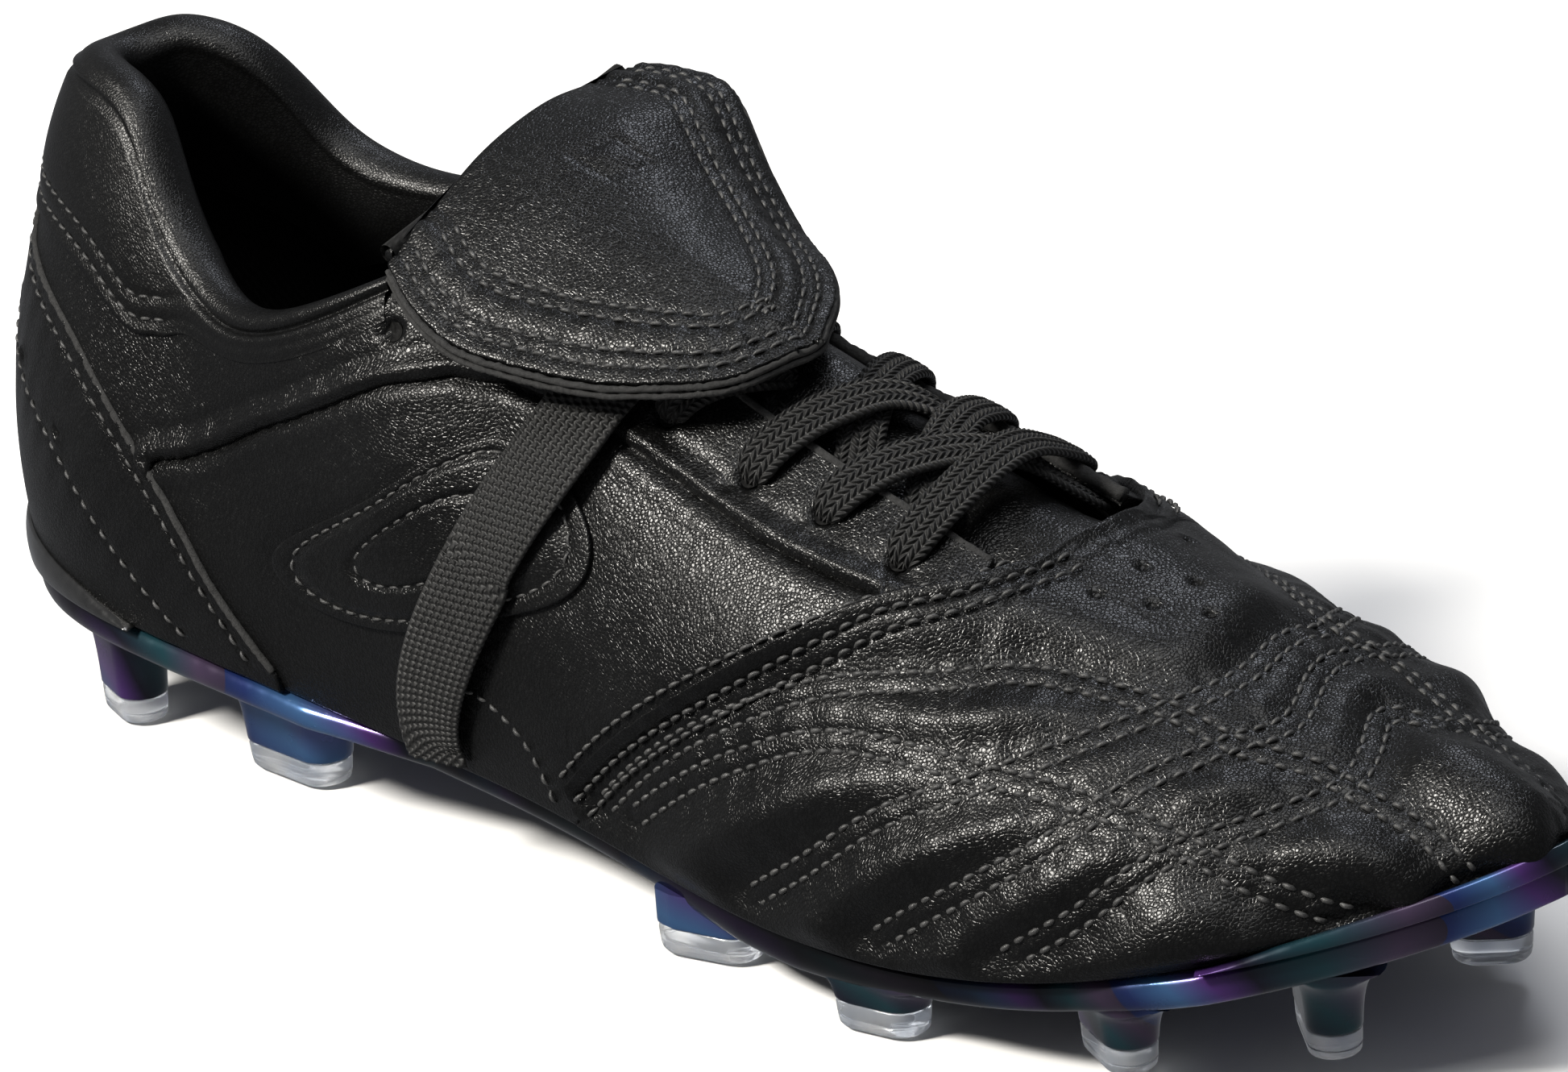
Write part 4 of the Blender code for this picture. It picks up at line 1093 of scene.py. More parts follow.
BACKSTAY_INNER = ((6, 0.605), (12, 0.53), (31, 0.42), (50, 0.30), (61, 0.15), (68, 0.04))
BACKSTAY_DOUBLE = ((0.4, 0.47), (10, 0.36), (23, 0.27), (38, 0.15), (54, 0.03))
HEEL_HOLES = ((7, 0.44), (14, 0.36), (27, 0.28))

OVAL_CENTRE, OVAL_HEIGHT = 110, 0.36
OVAL_HALF_LENGTH, OVAL_HALF_HEIGHT = 31, 0.145


def oval_line(side, grow, count=160):
    """Dense points round the side overlay's outline."""
    turn = np.linspace(0, 2 * math.pi, count)
    s = OVAL_CENTRE + grow * OVAL_HALF_LENGTH * np.cos(turn)
    t = OVAL_HEIGHT + 0.03 * np.cos(turn) + grow * OVAL_HALF_HEIGHT * np.sin(turn)
    return on_last(s, fold(side, t))


def overlay(side, word):
    """A padded oval sewn on the quarter: a raised field inside a sewn rim, with a smaller ring."""
    turns, rings = detail((200, 44), (96, 26))
    turn = np.linspace(0, 2 * math.pi, turns + 1)[:-1]
    reach = np.linspace(0.03, 1, rings) ** 0.9
    r, a = np.meshgrid(reach, turn, indexing="ij")
    s = OVAL_CENTRE + OVAL_HALF_LENGTH * r * np.cos(a)
    t = OVAL_HEIGHT + 0.03 * r * np.cos(a) + OVAL_HALF_HEIGHT * r * np.sin(a)
    base, normals = skin(s, fold(side, t))
    field = 1 / (1 + np.exp((r - 0.80) / 0.018))
    inner = np.exp(-(((r - 0.46) / 0.035) ** 2))
    lift = 0.75 + 0.75 * field - 0.55 * inner - 0.30 * np.exp(-(((r - 0.88) / 0.02) ** 2)) + 0.1 * swell(base)
    top = base + normals * lift[..., None]
    under = base[-1] + normals[-1] * -0.2
    rounded = base[-1] + normals[-1] * 0.55 + unit(base[-1] - base[-3]) * 0.3
    points = np.concatenate((top, rounded[None], under[None]), 0)
    faces = grid_faces(points.shape[0], turns, wrap=True, flip=side < 0)
    every = points.reshape(-1, 3)
    middle = top[0].mean(0)
    faces += [(len(every), (j + 1) % turns, j)[:: 1 if side < 0 else -1] for j in range(turns)]
    made = new_object(f"side_overlay_{word}_leather", np.vstack((every, middle)), faces, LEATHER)
    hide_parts(f"side_overlay_{word}")
    rows = []
    for grow, height in ((0.88, 0.62), (0.46, 0.98)):
        s = OVAL_CENTRE + grow * OVAL_HALF_LENGTH * np.cos(np.append(turn, turn[0]))
        t = OVAL_HEIGHT + 0.03 * grow * np.cos(np.append(turn, turn[0]))
        t = t + grow * OVAL_HALF_HEIGHT * np.sin(np.append(turn, turn[0]))
        rows.append(skin(s, fold(side, t), height))
    stitches(f"side_overlay_{word}_stitches", rows, THREAD, radius=0.26)
    patch = ((112, 0.125), (117, 0.125), (122, 0.11), (127.5, 0.085), (131, 0.05), (133, 0.02))
    row_at, normals = run_on_last([(s, fold(side, t)) for s, t in patch], 0.6, 0.12)
    stitches(f"strap_base_{word}_stitches", [(row_at, normals)], THREAD, radius=0.3)


# ------------------------------------------------------------------ collar

COLLAR_DEPTH = ((0, 7.6), (60, 7.6), (85, 4.6), (103, 3.4))
COLLAR_END = 103.0
COLLAR_ROWS = (2.2, 5.4)  # stitch rows, in mm from the collar's foot
ROLL_FROM = 0.97  # share of the section's height where the roll begins
OUTER_COLS, INNER_COLS = 34, 30


def collar():
    """Leather over the foam edge: outer panel, seam, smooth roll and inner face."""
    side, s = around_heel(COLLAR_END, detail(1.0, 2.2))
    depth = edge(COLLAR_DEPTH, s)
    low = at_edge(COLLAR, s)
    outer = low[:, None] + (ROLL_FROM - low)[:, None] * np.linspace(0, 1, OUTER_COLS)
    base, normals = skin(s[:, None], np.where(side[:, None] < 0, outer, 2 - outer))
    share = np.linspace(0, 1, OUTER_COLS)[None]
    tall = np.clip((ROLL_FROM - low) / 0.3, 0, 1)[:, None]
    puff = 1.1 * np.sin(math.pi * np.clip(share, 0, 1)) ** 0.8 * tall
    top_line = base[:, -1]
    below = np.linalg.norm(base - top_line[:, None], axis=-1)
    seam = -0.75 * np.exp(-(((below - 1.2) / 0.55) ** 2))
    lap = 0.75 + 0.35 * np.exp(-((share / 0.04) ** 2))
    sewn = np.zeros_like(puff)
    for row_at in COLLAR_ROWS:
        away = np.linalg.norm(base - base[:, :1], axis=-1)
        sewn -= 0.35 * tall * np.exp(-(((away - row_at) / 0.6) ** 2))
    ripples = 0.10 * swell(base * 0.8)
    outside = base + normals * (puff * (below > 1.4) + seam + lap * tall + sewn + ripples)[..., None]
    b, n = skin(s, np.where(side < 0, ROLL_FROM, 1.03))
    up = unit(on_last(s, np.where(side < 0, 1.0, 1.0001)) - b)
    turns = np.linspace(0, math.pi, 15)[1:-1]
    radius = depth / 2 + 0.15
    roll = np.stack([b + n * (radius * math.cos(a) - depth / 2)[:, None]
                     + up * (0.78 * radius * math.sin(a))[:, None]
                     for a in turns], 1)
    inner = ROLL_FROM + (low[:, None] - 0.03 - ROLL_FROM) * np.linspace(0, 1, INNER_COLS)
    bi, ni = skin(s[:, None], np.where(side[:, None] < 0, inner, 2 - inner))
    share = np.linspace(0, 1, INNER_COLS)[None]
    soft = 1.5 * np.sin(math.pi * share) * tall
    inside = bi - ni * (depth[:, None] + soft + 0.12 * swell(bi))[..., None]
    ring = np.concatenate((outside, roll, inside), 1)
    start = outside[:, :1] - normals[:, :1] * 1.2
    ring = np.concatenate((start, ring), 1)
    made = new_object("collar_leather", ring.reshape(-1, 3), grid_faces(*ring.shape[:2]), SMOOTH_LEATHER)
    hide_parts("collar_lateral", "collar_medial")
    rows = []
    for row_at in COLLAR_ROWS:
        for one_side in (-1, 1):
            pick = (side == one_side) & (s < 57)
            order = np.argsort(s[pick])
            away = np.linalg.norm(base - base[:, :1], axis=-1)[pick][order]
            at = np.array([np.interp(row_at, a, np.arange(OUTER_COLS)) for a in away])
            i = np.clip(at.astype(int), 0, OUTER_COLS - 2)
            part = (at - i)[:, None]
            where = np.arange(len(order))
            line = outside[pick][order][where, i] * (1 - part) + outside[pick][order][where, i + 1] * part
            rows.append((line + normals[pick][order][where, i] * 0.12, normals[pick][order][where, i]))
    stitches("collar_stitches", rows, THREAD, radius=0.26)
    seam_run = []
    for one_side in (-1, 1):
        pick = side == one_side
        order = np.argsort(s[pick])
        line = b[pick][order] - up[pick][order] * 2.0 + n[pick][order] * 0.15
        seam_run.append((line, n[pick][order]))
    stitches("topline_stitches", seam_run, THREAD, radius=0.2, length=1.5, gap=0.9)


HEEL_LINING_DEPTH = -4.15 - 0.25  # counter and foam, and air before the cloth


def inner_lining():
    """Cloth that lines the heel and the quarters."""
    side, s = around_heel(74, 1.6)
    t = np.linspace(0.06, 0.58, 34)[None]
    v = np.where(side[:, None] < 0, t, 2 - t)
    base, normals = skin(s[:, None], v)
    points = base + normals * (HEEL_LINING_DEPTH + 0.18 * swell(base * 0.5))[..., None]
    made = new_object("heel_lining_cloth", points.reshape(-1, 3), grid_faces(*points.shape[:2], flip=True),
                      LINING)
    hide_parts("heel_lining")
    for side, word in ((-1, "lateral"), (1, "medial")):
        s = even_stations(side, 75, 197, 1.8)
        top = 0.64 if side < 0 else 0.55
        foot = edge(((0, 0.06), (140, 0.075), (202, top + 0.02)), s)
        t = foot[:, None] + (top - foot)[:, None] * np.linspace(0, 1, 36)
        base, normals = skin(s[:, None], fold(side, t))
        points = base + normals * (-2.35 + 0.15 * swell(base * 0.5))[..., None]
        made = new_object(f"quarter_lining_{word}_cloth", points.reshape(-1, 3),
                          grid_faces(*points.shape[:2], flip=side < 0), LINING)
        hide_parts(f"quarter_lining_{word}")


# ------------------------------------------------------------------ tongue and flap

RIDGE = ((92, 98), (100, 99), (116, 94), (130, 88.5), (145, 83), (160, 78), (172, 74), (190, 67.3),
         (208, 61.4))
LATERAL_CURVE = 0.025
MEDIAL_CURVE = ((100, 0.024), (108, 0.036), (116, 0.043), (124, 0.056), (150, 0.056), (172, 0.043),
                (190, 0.034))
TONGUE_FROM, TONGUE_TO = 98.5, 208
TONGUE_WIDTH = ((98.5, 15), (116, 17.5), (170, 16), (208, 13))


def instep(x, y, lift):
    curve = np.where(y < 0, LATERAL_CURVE, edge(MEDIAL_CURVE, x))
    return np.stack((x, y, edge(smooth_path(RIDGE), x) - curve * y * y + lift), -1)


def tongue():
    xs = np.linspace(TONGUE_FROM, TONGUE_TO - 1, 120)
    half = edge(TONGUE_WIDTH, xs)
    share = np.linspace(-1, 1, 48)
    y = half[:, None] * share - 0.75 * (share + 1)[None]
    x = np.repeat(xs[:, None], 48, 1)
    round_off = 0.9 * np.abs(share)[None] ** 6
    top = instep(x, y, -3.4 - 0.08 * np.abs(y) - round_off)
    top[..., 2] += 0.12 * swell(top) - 0.25 + 0.9 * np.clip((x - 178) / 18, 0,
        1) + 1.3 * np.clip((x - 196) / 6, 0, 1)
    low = instep(x, y, -6.0 - 0.08 * np.abs(y) + round_off)
    ring = np.concatenate((top, low[:, ::-1]), 1)
    count = ring.shape[1]
    faces = grid_faces(len(xs), count, wrap=True)
    faces += [tuple(range(count)), tuple((len(xs) - 1) * count + j for j in range(count))[::-1]]
    made = new_object("tongue_leather", ring.reshape(-1, 3), faces, LEATHER)
    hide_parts("tongue")
    cloth_top = instep(x, y * 0.97, -6.35 - 0.08 * np.abs(y))
    cloth_low = instep(x, y * 0.97, -7.25 - 0.08 * np.abs(y))
    ring = np.concatenate((cloth_top, cloth_low[:, ::-1]), 1)
    made = new_object("tongue_lining_cloth", ring.reshape(-1, 3), faces, LINING)
    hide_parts("tongue_lining")


# Flap rows: x | lateral edge y | medial edge y | ridge z | tilt | curve.
FLAP = ((100, -29, 27, 102, 0.23, 0.006), (107, -32, 29, 101.3, 0.26, 0.0064),
        (116, -33, 28.5, 99.5, 0.28, 0.007),
        (128, -31, 22, 95.3, 0.156, 0.010), (140, -27.5, 16, 91.3, 0.013, 0.0146),
        (150, -23, 9.5, 88.1, 0.03, 0.013), (157, -17.5, 3, 85.8, 0.05, 0.012),
        (161, -10, -3, 84.6, 0.05, 0.012))
HINGE = np.array((98.5, 0.0, 97.5))
HINGE_AXIS = unit(np.array((0.0, 56.0, 13.0)))


def flap_grid(rows, cols, inset):
    """(x, y) spots of the flap inside its outline, and their shares across."""
    table = smooth_path(FLAP)
    xs = 100 + (161.4 - inset - 100) * np.sin(np.linspace(0, 1, rows) * math.pi / 2) ** 1.0
    lateral = np.interp(xs, table[:, 0], table[:, 1])
    medial = np.interp(xs, table[:, 0], table[:, 2])
    nose = np.sqrt(np.clip(1 - ((xs - 152) / (161.9 - inset - 152)).clip(0, 1) ** 3, 0, 1))
    middle = (lateral + medial) / 2
    half = (medial - lateral) / 2 * nose - inset
    share = np.linspace(-1, 1, cols)
    return np.repeat(xs[:, None], cols, 1), middle[:, None] + half[:, None] * share


def flap_z(x, y):
    table = smooth_path(FLAP)
    ridge, tilt, curve = (np.interp(x, table[:, 0], table[:, i]) for i in (3, 4, 5))
    return ridge + tilt * y - curve * y * y


def flap_outline(inset, first=100.5, count=260):
    """The flap's outline moved inward, from the fold's lateral end round the nose to its medial end."""
    x, y = flap_grid(count, 3, 0)
    line = np.concatenate((np.stack((x[:, 0], y[:, 0]), -1), np.stack((x[::-1, 2], y[::-1, 2]), -1)))
    line = evenly(np.hstack((line, np.zeros((len(line), 1)))), 0.6)[:, :2]
    along = unit(np.gradient(line, axis=0))
    moved = line + np.stack((-along[:, 1], along[:, 0]), -1) * inset
    for _ in range(3):
        moved[1:-1] = (moved[:-2] + 2 * moved[1:-1] + moved[2:]) / 4
    return moved[moved[:, 0] > first]


FLAP_ROWS = (2.4, 4.4, 8.6, 10.6)  # stitch rows, from the flap's edge
EMBLEM = (117.0, 1.0)  # middle of the plain raised lozenge


def flap_relief(x, y):
    points = np.stack((x, y, np.zeros_like(x)), -1)
    height = np.full(x.shape, 0.0)
    outline = flap_outline(0, 98)
    away, along = nearest(points, np.hstack((outline, np.zeros((len(outline), 1)))))
    height += 1.1 * (1 - np.exp(-((np.maximum(away - 10.6, 0) / 7.0) ** 2)))
    height += 0.40 * np.exp(-(((away - 6.5) / 1.5) ** 2))
    for row_at in FLAP_ROWS:
        height -= 0.36 * np.exp(-(((away - row_at) / 0.55) ** 2))
    height += 0.16 * ripple(along, np.abs(away - 6.5), 6.0, 0.5) + 0.09 * ripple(along, np.abs(away - 3.5),
                            3.0, 2)
    inside = points - np.array((*EMBLEM, 0))
    turn = math.radians(35)
    a = inside[..., 0] * math.cos(turn) + inside[..., 1] * math.sin(turn)
    b = inside[..., 1] * math.cos(turn) - inside[..., 0] * math.sin(turn)
    lozenge = np.abs(a) / 6.0 + np.abs(b) / 4.2
    height -= 0.55 * np.exp(-(((lozenge - 1.0) / 0.13) ** 2)) - 0.35 / (1 + np.exp((lozenge - 0.45) / 0.05))
    return height + 0.10 * swell(points * 0.8)


def flap():
    rows, cols = detail((110, 90), (70, 60))
    x, y = flap_grid(rows, cols, 0.35)
    z = flap_z(x, y) + flap_relief(x, y)
    top = np.stack((x, y, z), -1)
    dx, dy = np.gradient(top, axis=0), np.gradient(top, axis=1)
    normals = unit(np.cross(dx, dy))
    top_hem, _ = hem(top, normals, 1.3, round_by=0.35)
    made = new_object("tongue_flap_leather", top_hem.reshape(-1, 3), grid_faces(*top_hem.shape[:2]), LEATHER,
                      body="flap")
    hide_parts("tongue_flap")
    x, y = flap_grid(rows, cols, 0.7)
    under = np.stack((x, y, flap_z(x, y) - 2.9 + 0.1 * swell(np.stack((x, y, 0 * x), -1))), -1)
    under, _ = hem(under, -normals, 1.1, round_by=0.3)
    made = new_object("flap_lining_cloth", under.reshape(-1, 3), grid_faces(*under.shape[:2], flip=True),
                      LINING,
                      body="flap")
    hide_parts("flap_lining")
    outline = flap_outline(0.0, 99)
    for name, drop in (("flap_cut_edge_upper", 0.85), ("flap_cut_edge_lower", 1.95)):
        line = np.column_stack((outline, flap_z(outline[:, 0], outline[:, 1]) - drop))
        cut_edge(name, (line, np.tile((0, 0, 1.0), (len(line), 1))), 0.50, 0.0, RAW, "flap")
    runs = []
    for row_at in FLAP_ROWS:
        spots = flap_outline(row_at, 101)
        height = flap_z(spots[:, 0], spots[:, 1]) + flap_relief(spots[:, 0], spots[:, 1]) + 0.14
        line = np.column_stack((spots, height))
        near = np.column_stack((spots[:, 0] + 0.5, spots[:, 1], flap_z(spots[:, 0] + 0.5, spots[:, 1])))
        side_on = np.column_stack((spots[:, 0], spots[:, 1] + 0.5, flap_z(spots[:, 0], spots[:, 1] + 0.5)))
        here = np.column_stack((spots, flap_z(spots[:, 0], spots[:, 1])))
        runs.append((line, unit(np.cross(near - here, side_on - here))))
    stitches("flap_stitches", runs, THREAD, body="flap", radius=0.32)
    flap_fold()


FOLD_ENDS = (-27.2, 23.4)
FOLD_LOW_REACH = 2.4


def flap_fold():
    """The leather that turns over at the fold, between tongue and flap."""
    ys = np.linspace(*FOLD_ENDS, 70)
    centre = HINGE + np.outer(ys, (0, 1.0, 13 / 56))
    up = unit(np.cross(HINGE_AXIS, (-1.0, 0, 0)))
    if up[2] < 0:
        up = -up
    top_lift = flap_z(np.full_like(ys, 100.0), ys) - centre[:, 2]
    angles = np.linspace(math.pi / 2 - 0.35, -math.pi / 2, 22)
    rings = []
    for angle in angles:
        share = (angle + math.pi / 2) / math.pi
        reach = FOLD_LOW_REACH + (np.clip(top_lift + 0.2, 0.5, 6.0) - FOLD_LOW_REACH) * share
        spot = centre + up * (reach * math.sin(angle))[:, None]
        spot[:, 0] -= (1.5 + 0.15 * np.sin(ys / 3.1)) * math.cos(angle) - 1.6 * share
        rings.append(spot)
    points = np.stack(rings, 0)
    count = points.shape[0]
    faces = grid_faces(*points.shape[:2], flip=True)
    middles = [points[:, j].mean(0) + (0.8, 0, 0) for j in (0, -1)]
    total = points.shape[0] * points.shape[1]
    for i in range(count - 1):
        faces.append((total, i * len(ys), (i + 1) * len(ys)))
        faces.append((total + 1, (i + 1) * len(ys) + len(ys) - 1, i * len(ys) + len(ys) - 1))
    made = new_object("flap_fold_leather", np.vstack((points.reshape(-1, 3), middles)), faces, LEATHER,
                      body=None)
    low, high = HINGE - up * 2.6, HINGE + up * 4.6
    tuple(row(low))
    tuple(row(high))
    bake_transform(made)
    roll = np.stack([centre + up * 1.5 * math.sin(a) + np.array((1.5 * math.cos(a), 0, 0))
                     for a in np.linspace(0, 2 * math.pi, 15)[:-1]], 1)
    faces = grid_faces(len(ys), 14, wrap=True)
    made = new_object("flap_fold_core", roll.reshape(-1, 3), faces, LINING)


# ------------------------------------------------------------------ laces, keeper and strap

# Each strand as (station, v, height over the last), from its lateral end to its medial end.
STRANDS = {
    "bar_1": ((189, 0.70, -1.8), (189.2, 0.715, 0.6), (189.8, 0.76, 1.7), (190.6, 0.84, 2.6),
              (191.2, 0.93, 3.1),
              (191.2, 1.02, 3.0), (190.8, 1.11, 2.3), (190, 1.20, 1.9), (189.3, 1.26, 1.5), (189, 1.285, 0.5),
              (189, 1.30, -1.8)),
    "over_2": ((175, 0.70, -1.8), (175.4, 0.715, 0.6), (177, 0.76, 1.7), (180, 0.84, 1.9), (184, 0.92, 1.6),
               (188, 1.0, 0.9), (191.5, 1.08, -0.4), (194, 1.15, -1.8), (196, 1.22, -2.7), (197, 1.26, -3.0)),
    "under_2": ((189, 0.77, -2.6), (188, 0.80, -2.2), (185.5, 0.86, -1.0), (183.2, 0.93, -0.3),
                (181.5, 1.0, 0.2),
                (180, 1.08, 1.3), (178.5, 1.17, 2.0), (177, 1.235, 1.9), (176, 1.275, 0.7),
                (175.5, 1.30, -1.8)),
    "over_3": ((162, 0.68, -1.8), (162.3, 0.695, 0.6), (163.5, 0.74, 1.7), (166, 0.82, 2.1), (169, 0.90, 1.9),
               (172, 0.98, 1.5), (175.5, 1.05, 0.2), (178.5, 1.12, -1.6), (181, 1.20, -2.6),
               (182, 1.26, -3.0)),
    "under_3": ((176, 0.765, -2.6), (175, 0.80, -2.2), (173, 0.86, -1.2), (171, 0.92, -0.4),
                (169.5, 0.98, 0.1),
                (168, 1.06, 1.2), (166, 1.15, 2.2), (164, 1.225, 2.2), (163, 1.27, 0.8), (162.5, 1.30, -1.8)),
    "over_4": ((147, 0.68, -1.8), (147.3, 0.695, 0.6), (149, 0.74, 1.6), (152, 0.80, 1.5), (156, 0.87, 0.4),
               (160, 0.94, -1.4), (164, 1.02, -1.7), (167, 1.10, -1.9), (169, 1.18, -2.7), (170, 1.25, -3.0)),
    "under_4": ((163, 0.76, -2.6), (162, 0.80, -2.3), (160, 0.86, -1.8), (158, 0.92, -2.2), (156, 0.98, -2.5),
                (154, 1.05, -1.6), (152, 1.13, 0.6), (150, 1.20, 1.9), (148.5, 1.26, 0.9), (148, 1.30, -1.8)),
    "over_5": ((132, 0.71, -1.8), (132.3, 0.73, 0.6), (134, 0.77, 1.5), (137, 0.84, 1.5), (141, 0.91, 0.9),
               (145, 0.98, 0.2), (149, 1.04, -0.6), (152, 1.10, -1.7), (155, 1.17, -2.7), (156, 1.22, -3.0)),
    "under_5": ((148, 0.77, -2.6), (147, 0.81, -2.2), (145, 0.87, -1.4), (142.5, 0.93, -1.2),
                (140, 0.99, -1.0),
                (138, 1.05, -0.2), (136, 1.12, 1.2), (134, 1.19, 1.6), (132.6, 1.25, 0.7), (132, 1.29, -1.8)),
}
STRAND_NODES = {"bar_1": ("lace_span_5",), "over_2": ("lace_span_4",), "over_3": ("lace_span_3",),
                "over_4": ("lace_span_2",), "over_5": ("lace_span_1",)}
LACE_WIDTH, LACE_THICK = 7.0, 1.35


def braid(u, w):
    """Herringbone columns along a flat braid: slanted yarns that change direction from column to column."""
    column = np.floor((w + 3.5) / 1.17)
    inside = (w + 3.5) / 1.17 - column
    lean = np.where(column % 2 == 0, 1.0, -1.0)
    slant = np.sin((u / 1.15 + lean * inside * 0.9) * 2 * math.pi)
    cleft = np.exp(-(((inside - 0.5).__abs__() - 0.5) / 0.13) ** 2)
    return 0.16 * slant * np.sin(math.pi * inside) ** 0.6 - 0.16 * cleft


def lace(name, spots):
    table = smooth_path(spots)
    points, normals = skin(table[:, 0], table[:, 1], table[:, 2])
    for _ in range(40):
        normals[1:-1] = unit(normals[:-2] + normals[1:-1] + normals[2:])
        points[1:-1] = (points[:-2] + 2 * points[1:-1] + points[2:]) / 4
    length = len(points)
    taper = np.clip(np.minimum(np.arange(length), np.arange(length)[::-1]) / (length * 0.09), 0, 1)
    widths = 3.2 + (LACE_WIDTH - 3.2) * np.sin(taper * math.pi / 2)
    step, cols = detail((0.22, 50), (0.5, 22))
    made = ribbon(f"lace_{name}", points, normals, widths, LACE_THICK, LACE, pattern=braid, step=step,
                  cols=cols,
                  crown=0.25)
    if name in STRAND_NODES:
        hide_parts(*STRAND_NODES[name])


def keeper():
    """Leather loop on the tongue, over two strands."""
    xs = np.linspace(147.5, 163, 40)
    share = np.linspace(-1, 1, 40)
    x, y = np.meshgrid(xs, share, indexing="ij")
    y = -1.5 + y * (9.0 + 0.6 * np.sin((x - 147.5) / 15.5 * math.pi))
    arch = 1.9 * (1 - np.abs(share) ** 4)[None] * np.ones_like(x)
    points = instep(x, y, -2.4 + arch - 0.08 * np.abs(y)) + 0
    points[..., 2] += 0.12 * swell(points)
    dx, dy = np.gradient(points, axis=0), np.gradient(points, axis=1)
    normals = unit(np.cross(dx, dy))
    shell, _ = hem(points, normals, 1.3, round_by=0.3)
    made = new_object("lace_keeper_leather", shell.reshape(-1, 3), grid_faces(*shell.shape[:2]), LEATHER)
    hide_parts("lace_keeper")
    rim = np.concatenate((points[0, ::2], points[::2, -1], points[-1, ::-2], points[::-2, 0]))
    cut_edge("lace_keeper_cut_edge", (rim, np.tile((0, 0, 1.0), (len(rim), 1))), 0.5, -0.5)


def elastic(u, w):
    """Dense woven rows across an elastic strap, crossed by its rubber cords."""
    rows = np.sin(u / 1.25 * 2 * math.pi + math.pi * (np.floor((w + 6) / 1.2) % 2))
    cords = np.abs(np.sin((w + 6) / 1.2 * math.pi)) ** 0.7
    return 0.20 * rows * cords + 0.14 * cords - 0.1


STRAP_PATH = ((139.5, 0.76, 1.0), (138.5, 0.70, 1.8), (137, 0.64, 2.4), (134.5, 0.55, 2.9),
              (129.5, 0.44, 3.0),
              (121, 0.30, 2.9), (113.5, 0.19, 2.5), (109, 0.11, 1.9), (107.2, 0.05, 1.2), (107.5, 0.01, 0.7))


def strap(side, word):
    spots = [(s, fold(side, t), lift) for s, t, lift in STRAP_PATH]
    table = smooth_path(spots)
    points, normals = skin(table[:, 0], table[:, 1], table[:, 2])
    under, inward = feather_point(side, 108.5, -2.0), feather_point(side, 111.5, -9.0)
    points = np.vstack((points, under + (0, 0, -1.2), inward + (0, 0, -2.4)))
    side_on = unit(np.array((0.0, 1.0 * side, -1.0)))
    normals = np.vstack((normals, side_on, (0, 0, -1.0)))
    line = evenly(smooth_path(np.hstack((points, normals))[::3]), 0.8)
    step, cols = detail((0.25, 64), (0.6, 22))
    made = ribbon(f"strap_{word}_elastic", line[:, :3], unit(line[:, 3:]), 13.0, 1.3, STRAP, pattern=elastic,
                  step=step, cols=cols)
    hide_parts(f"strap_{word}")


# ------------------------------------------------------------------ bottom

PLATE_DEPTH = ((0, -6.0), (50, -5.2), (85, -4.6), (130, -5.4), (182, -6.2), (208, -5.0), (240, -5.6),
               (285, -5.6))
PLATE_LIP = ((0, 0.8), (78, 0.8), (100, -3.5), (150, -3.5), (170, -2.0), (232, -2.0), (250, 0.8), (285, 0.8))
STUDS = (
    ("heel_rear_lateral", 25, -17, 0, 14, 8, -24), ("heel_front_lateral", 63, -20, 0, 20, 8.5, -6),
    ("heel_rear_medial", 25, 17, 0, 14, 8, 24), ("heel_front_medial", 63, 19, 0, 20, 8.5, 6),
    ("arch_lateral", 159, -35, 0, 17, 8, 10), ("arch_medial", 165, 27, 0, 15, 8, -8),
    ("forefoot_rear_lateral", 196, -40.5, 0, 15, 8, 6), ("forefoot_rear_medial", 200, 33, 0, 15, 8, -4),
    ("forefoot_mid_lateral", 231.5, -32, 1, 16, 8, -28), ("forefoot_mid_medial", 234, 27, 1, 16, 8, 26),
    ("toe_lateral", 255.5, -16, 3.6, 18, 8, -42), ("toe_medial", 258, 17, 3.6, 12, 8, 38),
)
TIP_HEIGHT = 4.0


def feather_point(side, s, outward):
    """A point of the feather edge, moved outward in plan."""
    keys = key_of(side, s)
    along = loop_at(keys + 0.05)[..., :2] - loop_at(keys - 0.05)[..., :2]
    out = unit(np.stack((along[..., 1], -along[..., 0]), -1))
    low = loop_at(keys)[..., :3]
    low = low.copy()
    low[..., :2] += out * np.asarray(outward, float)[..., None]
    return low


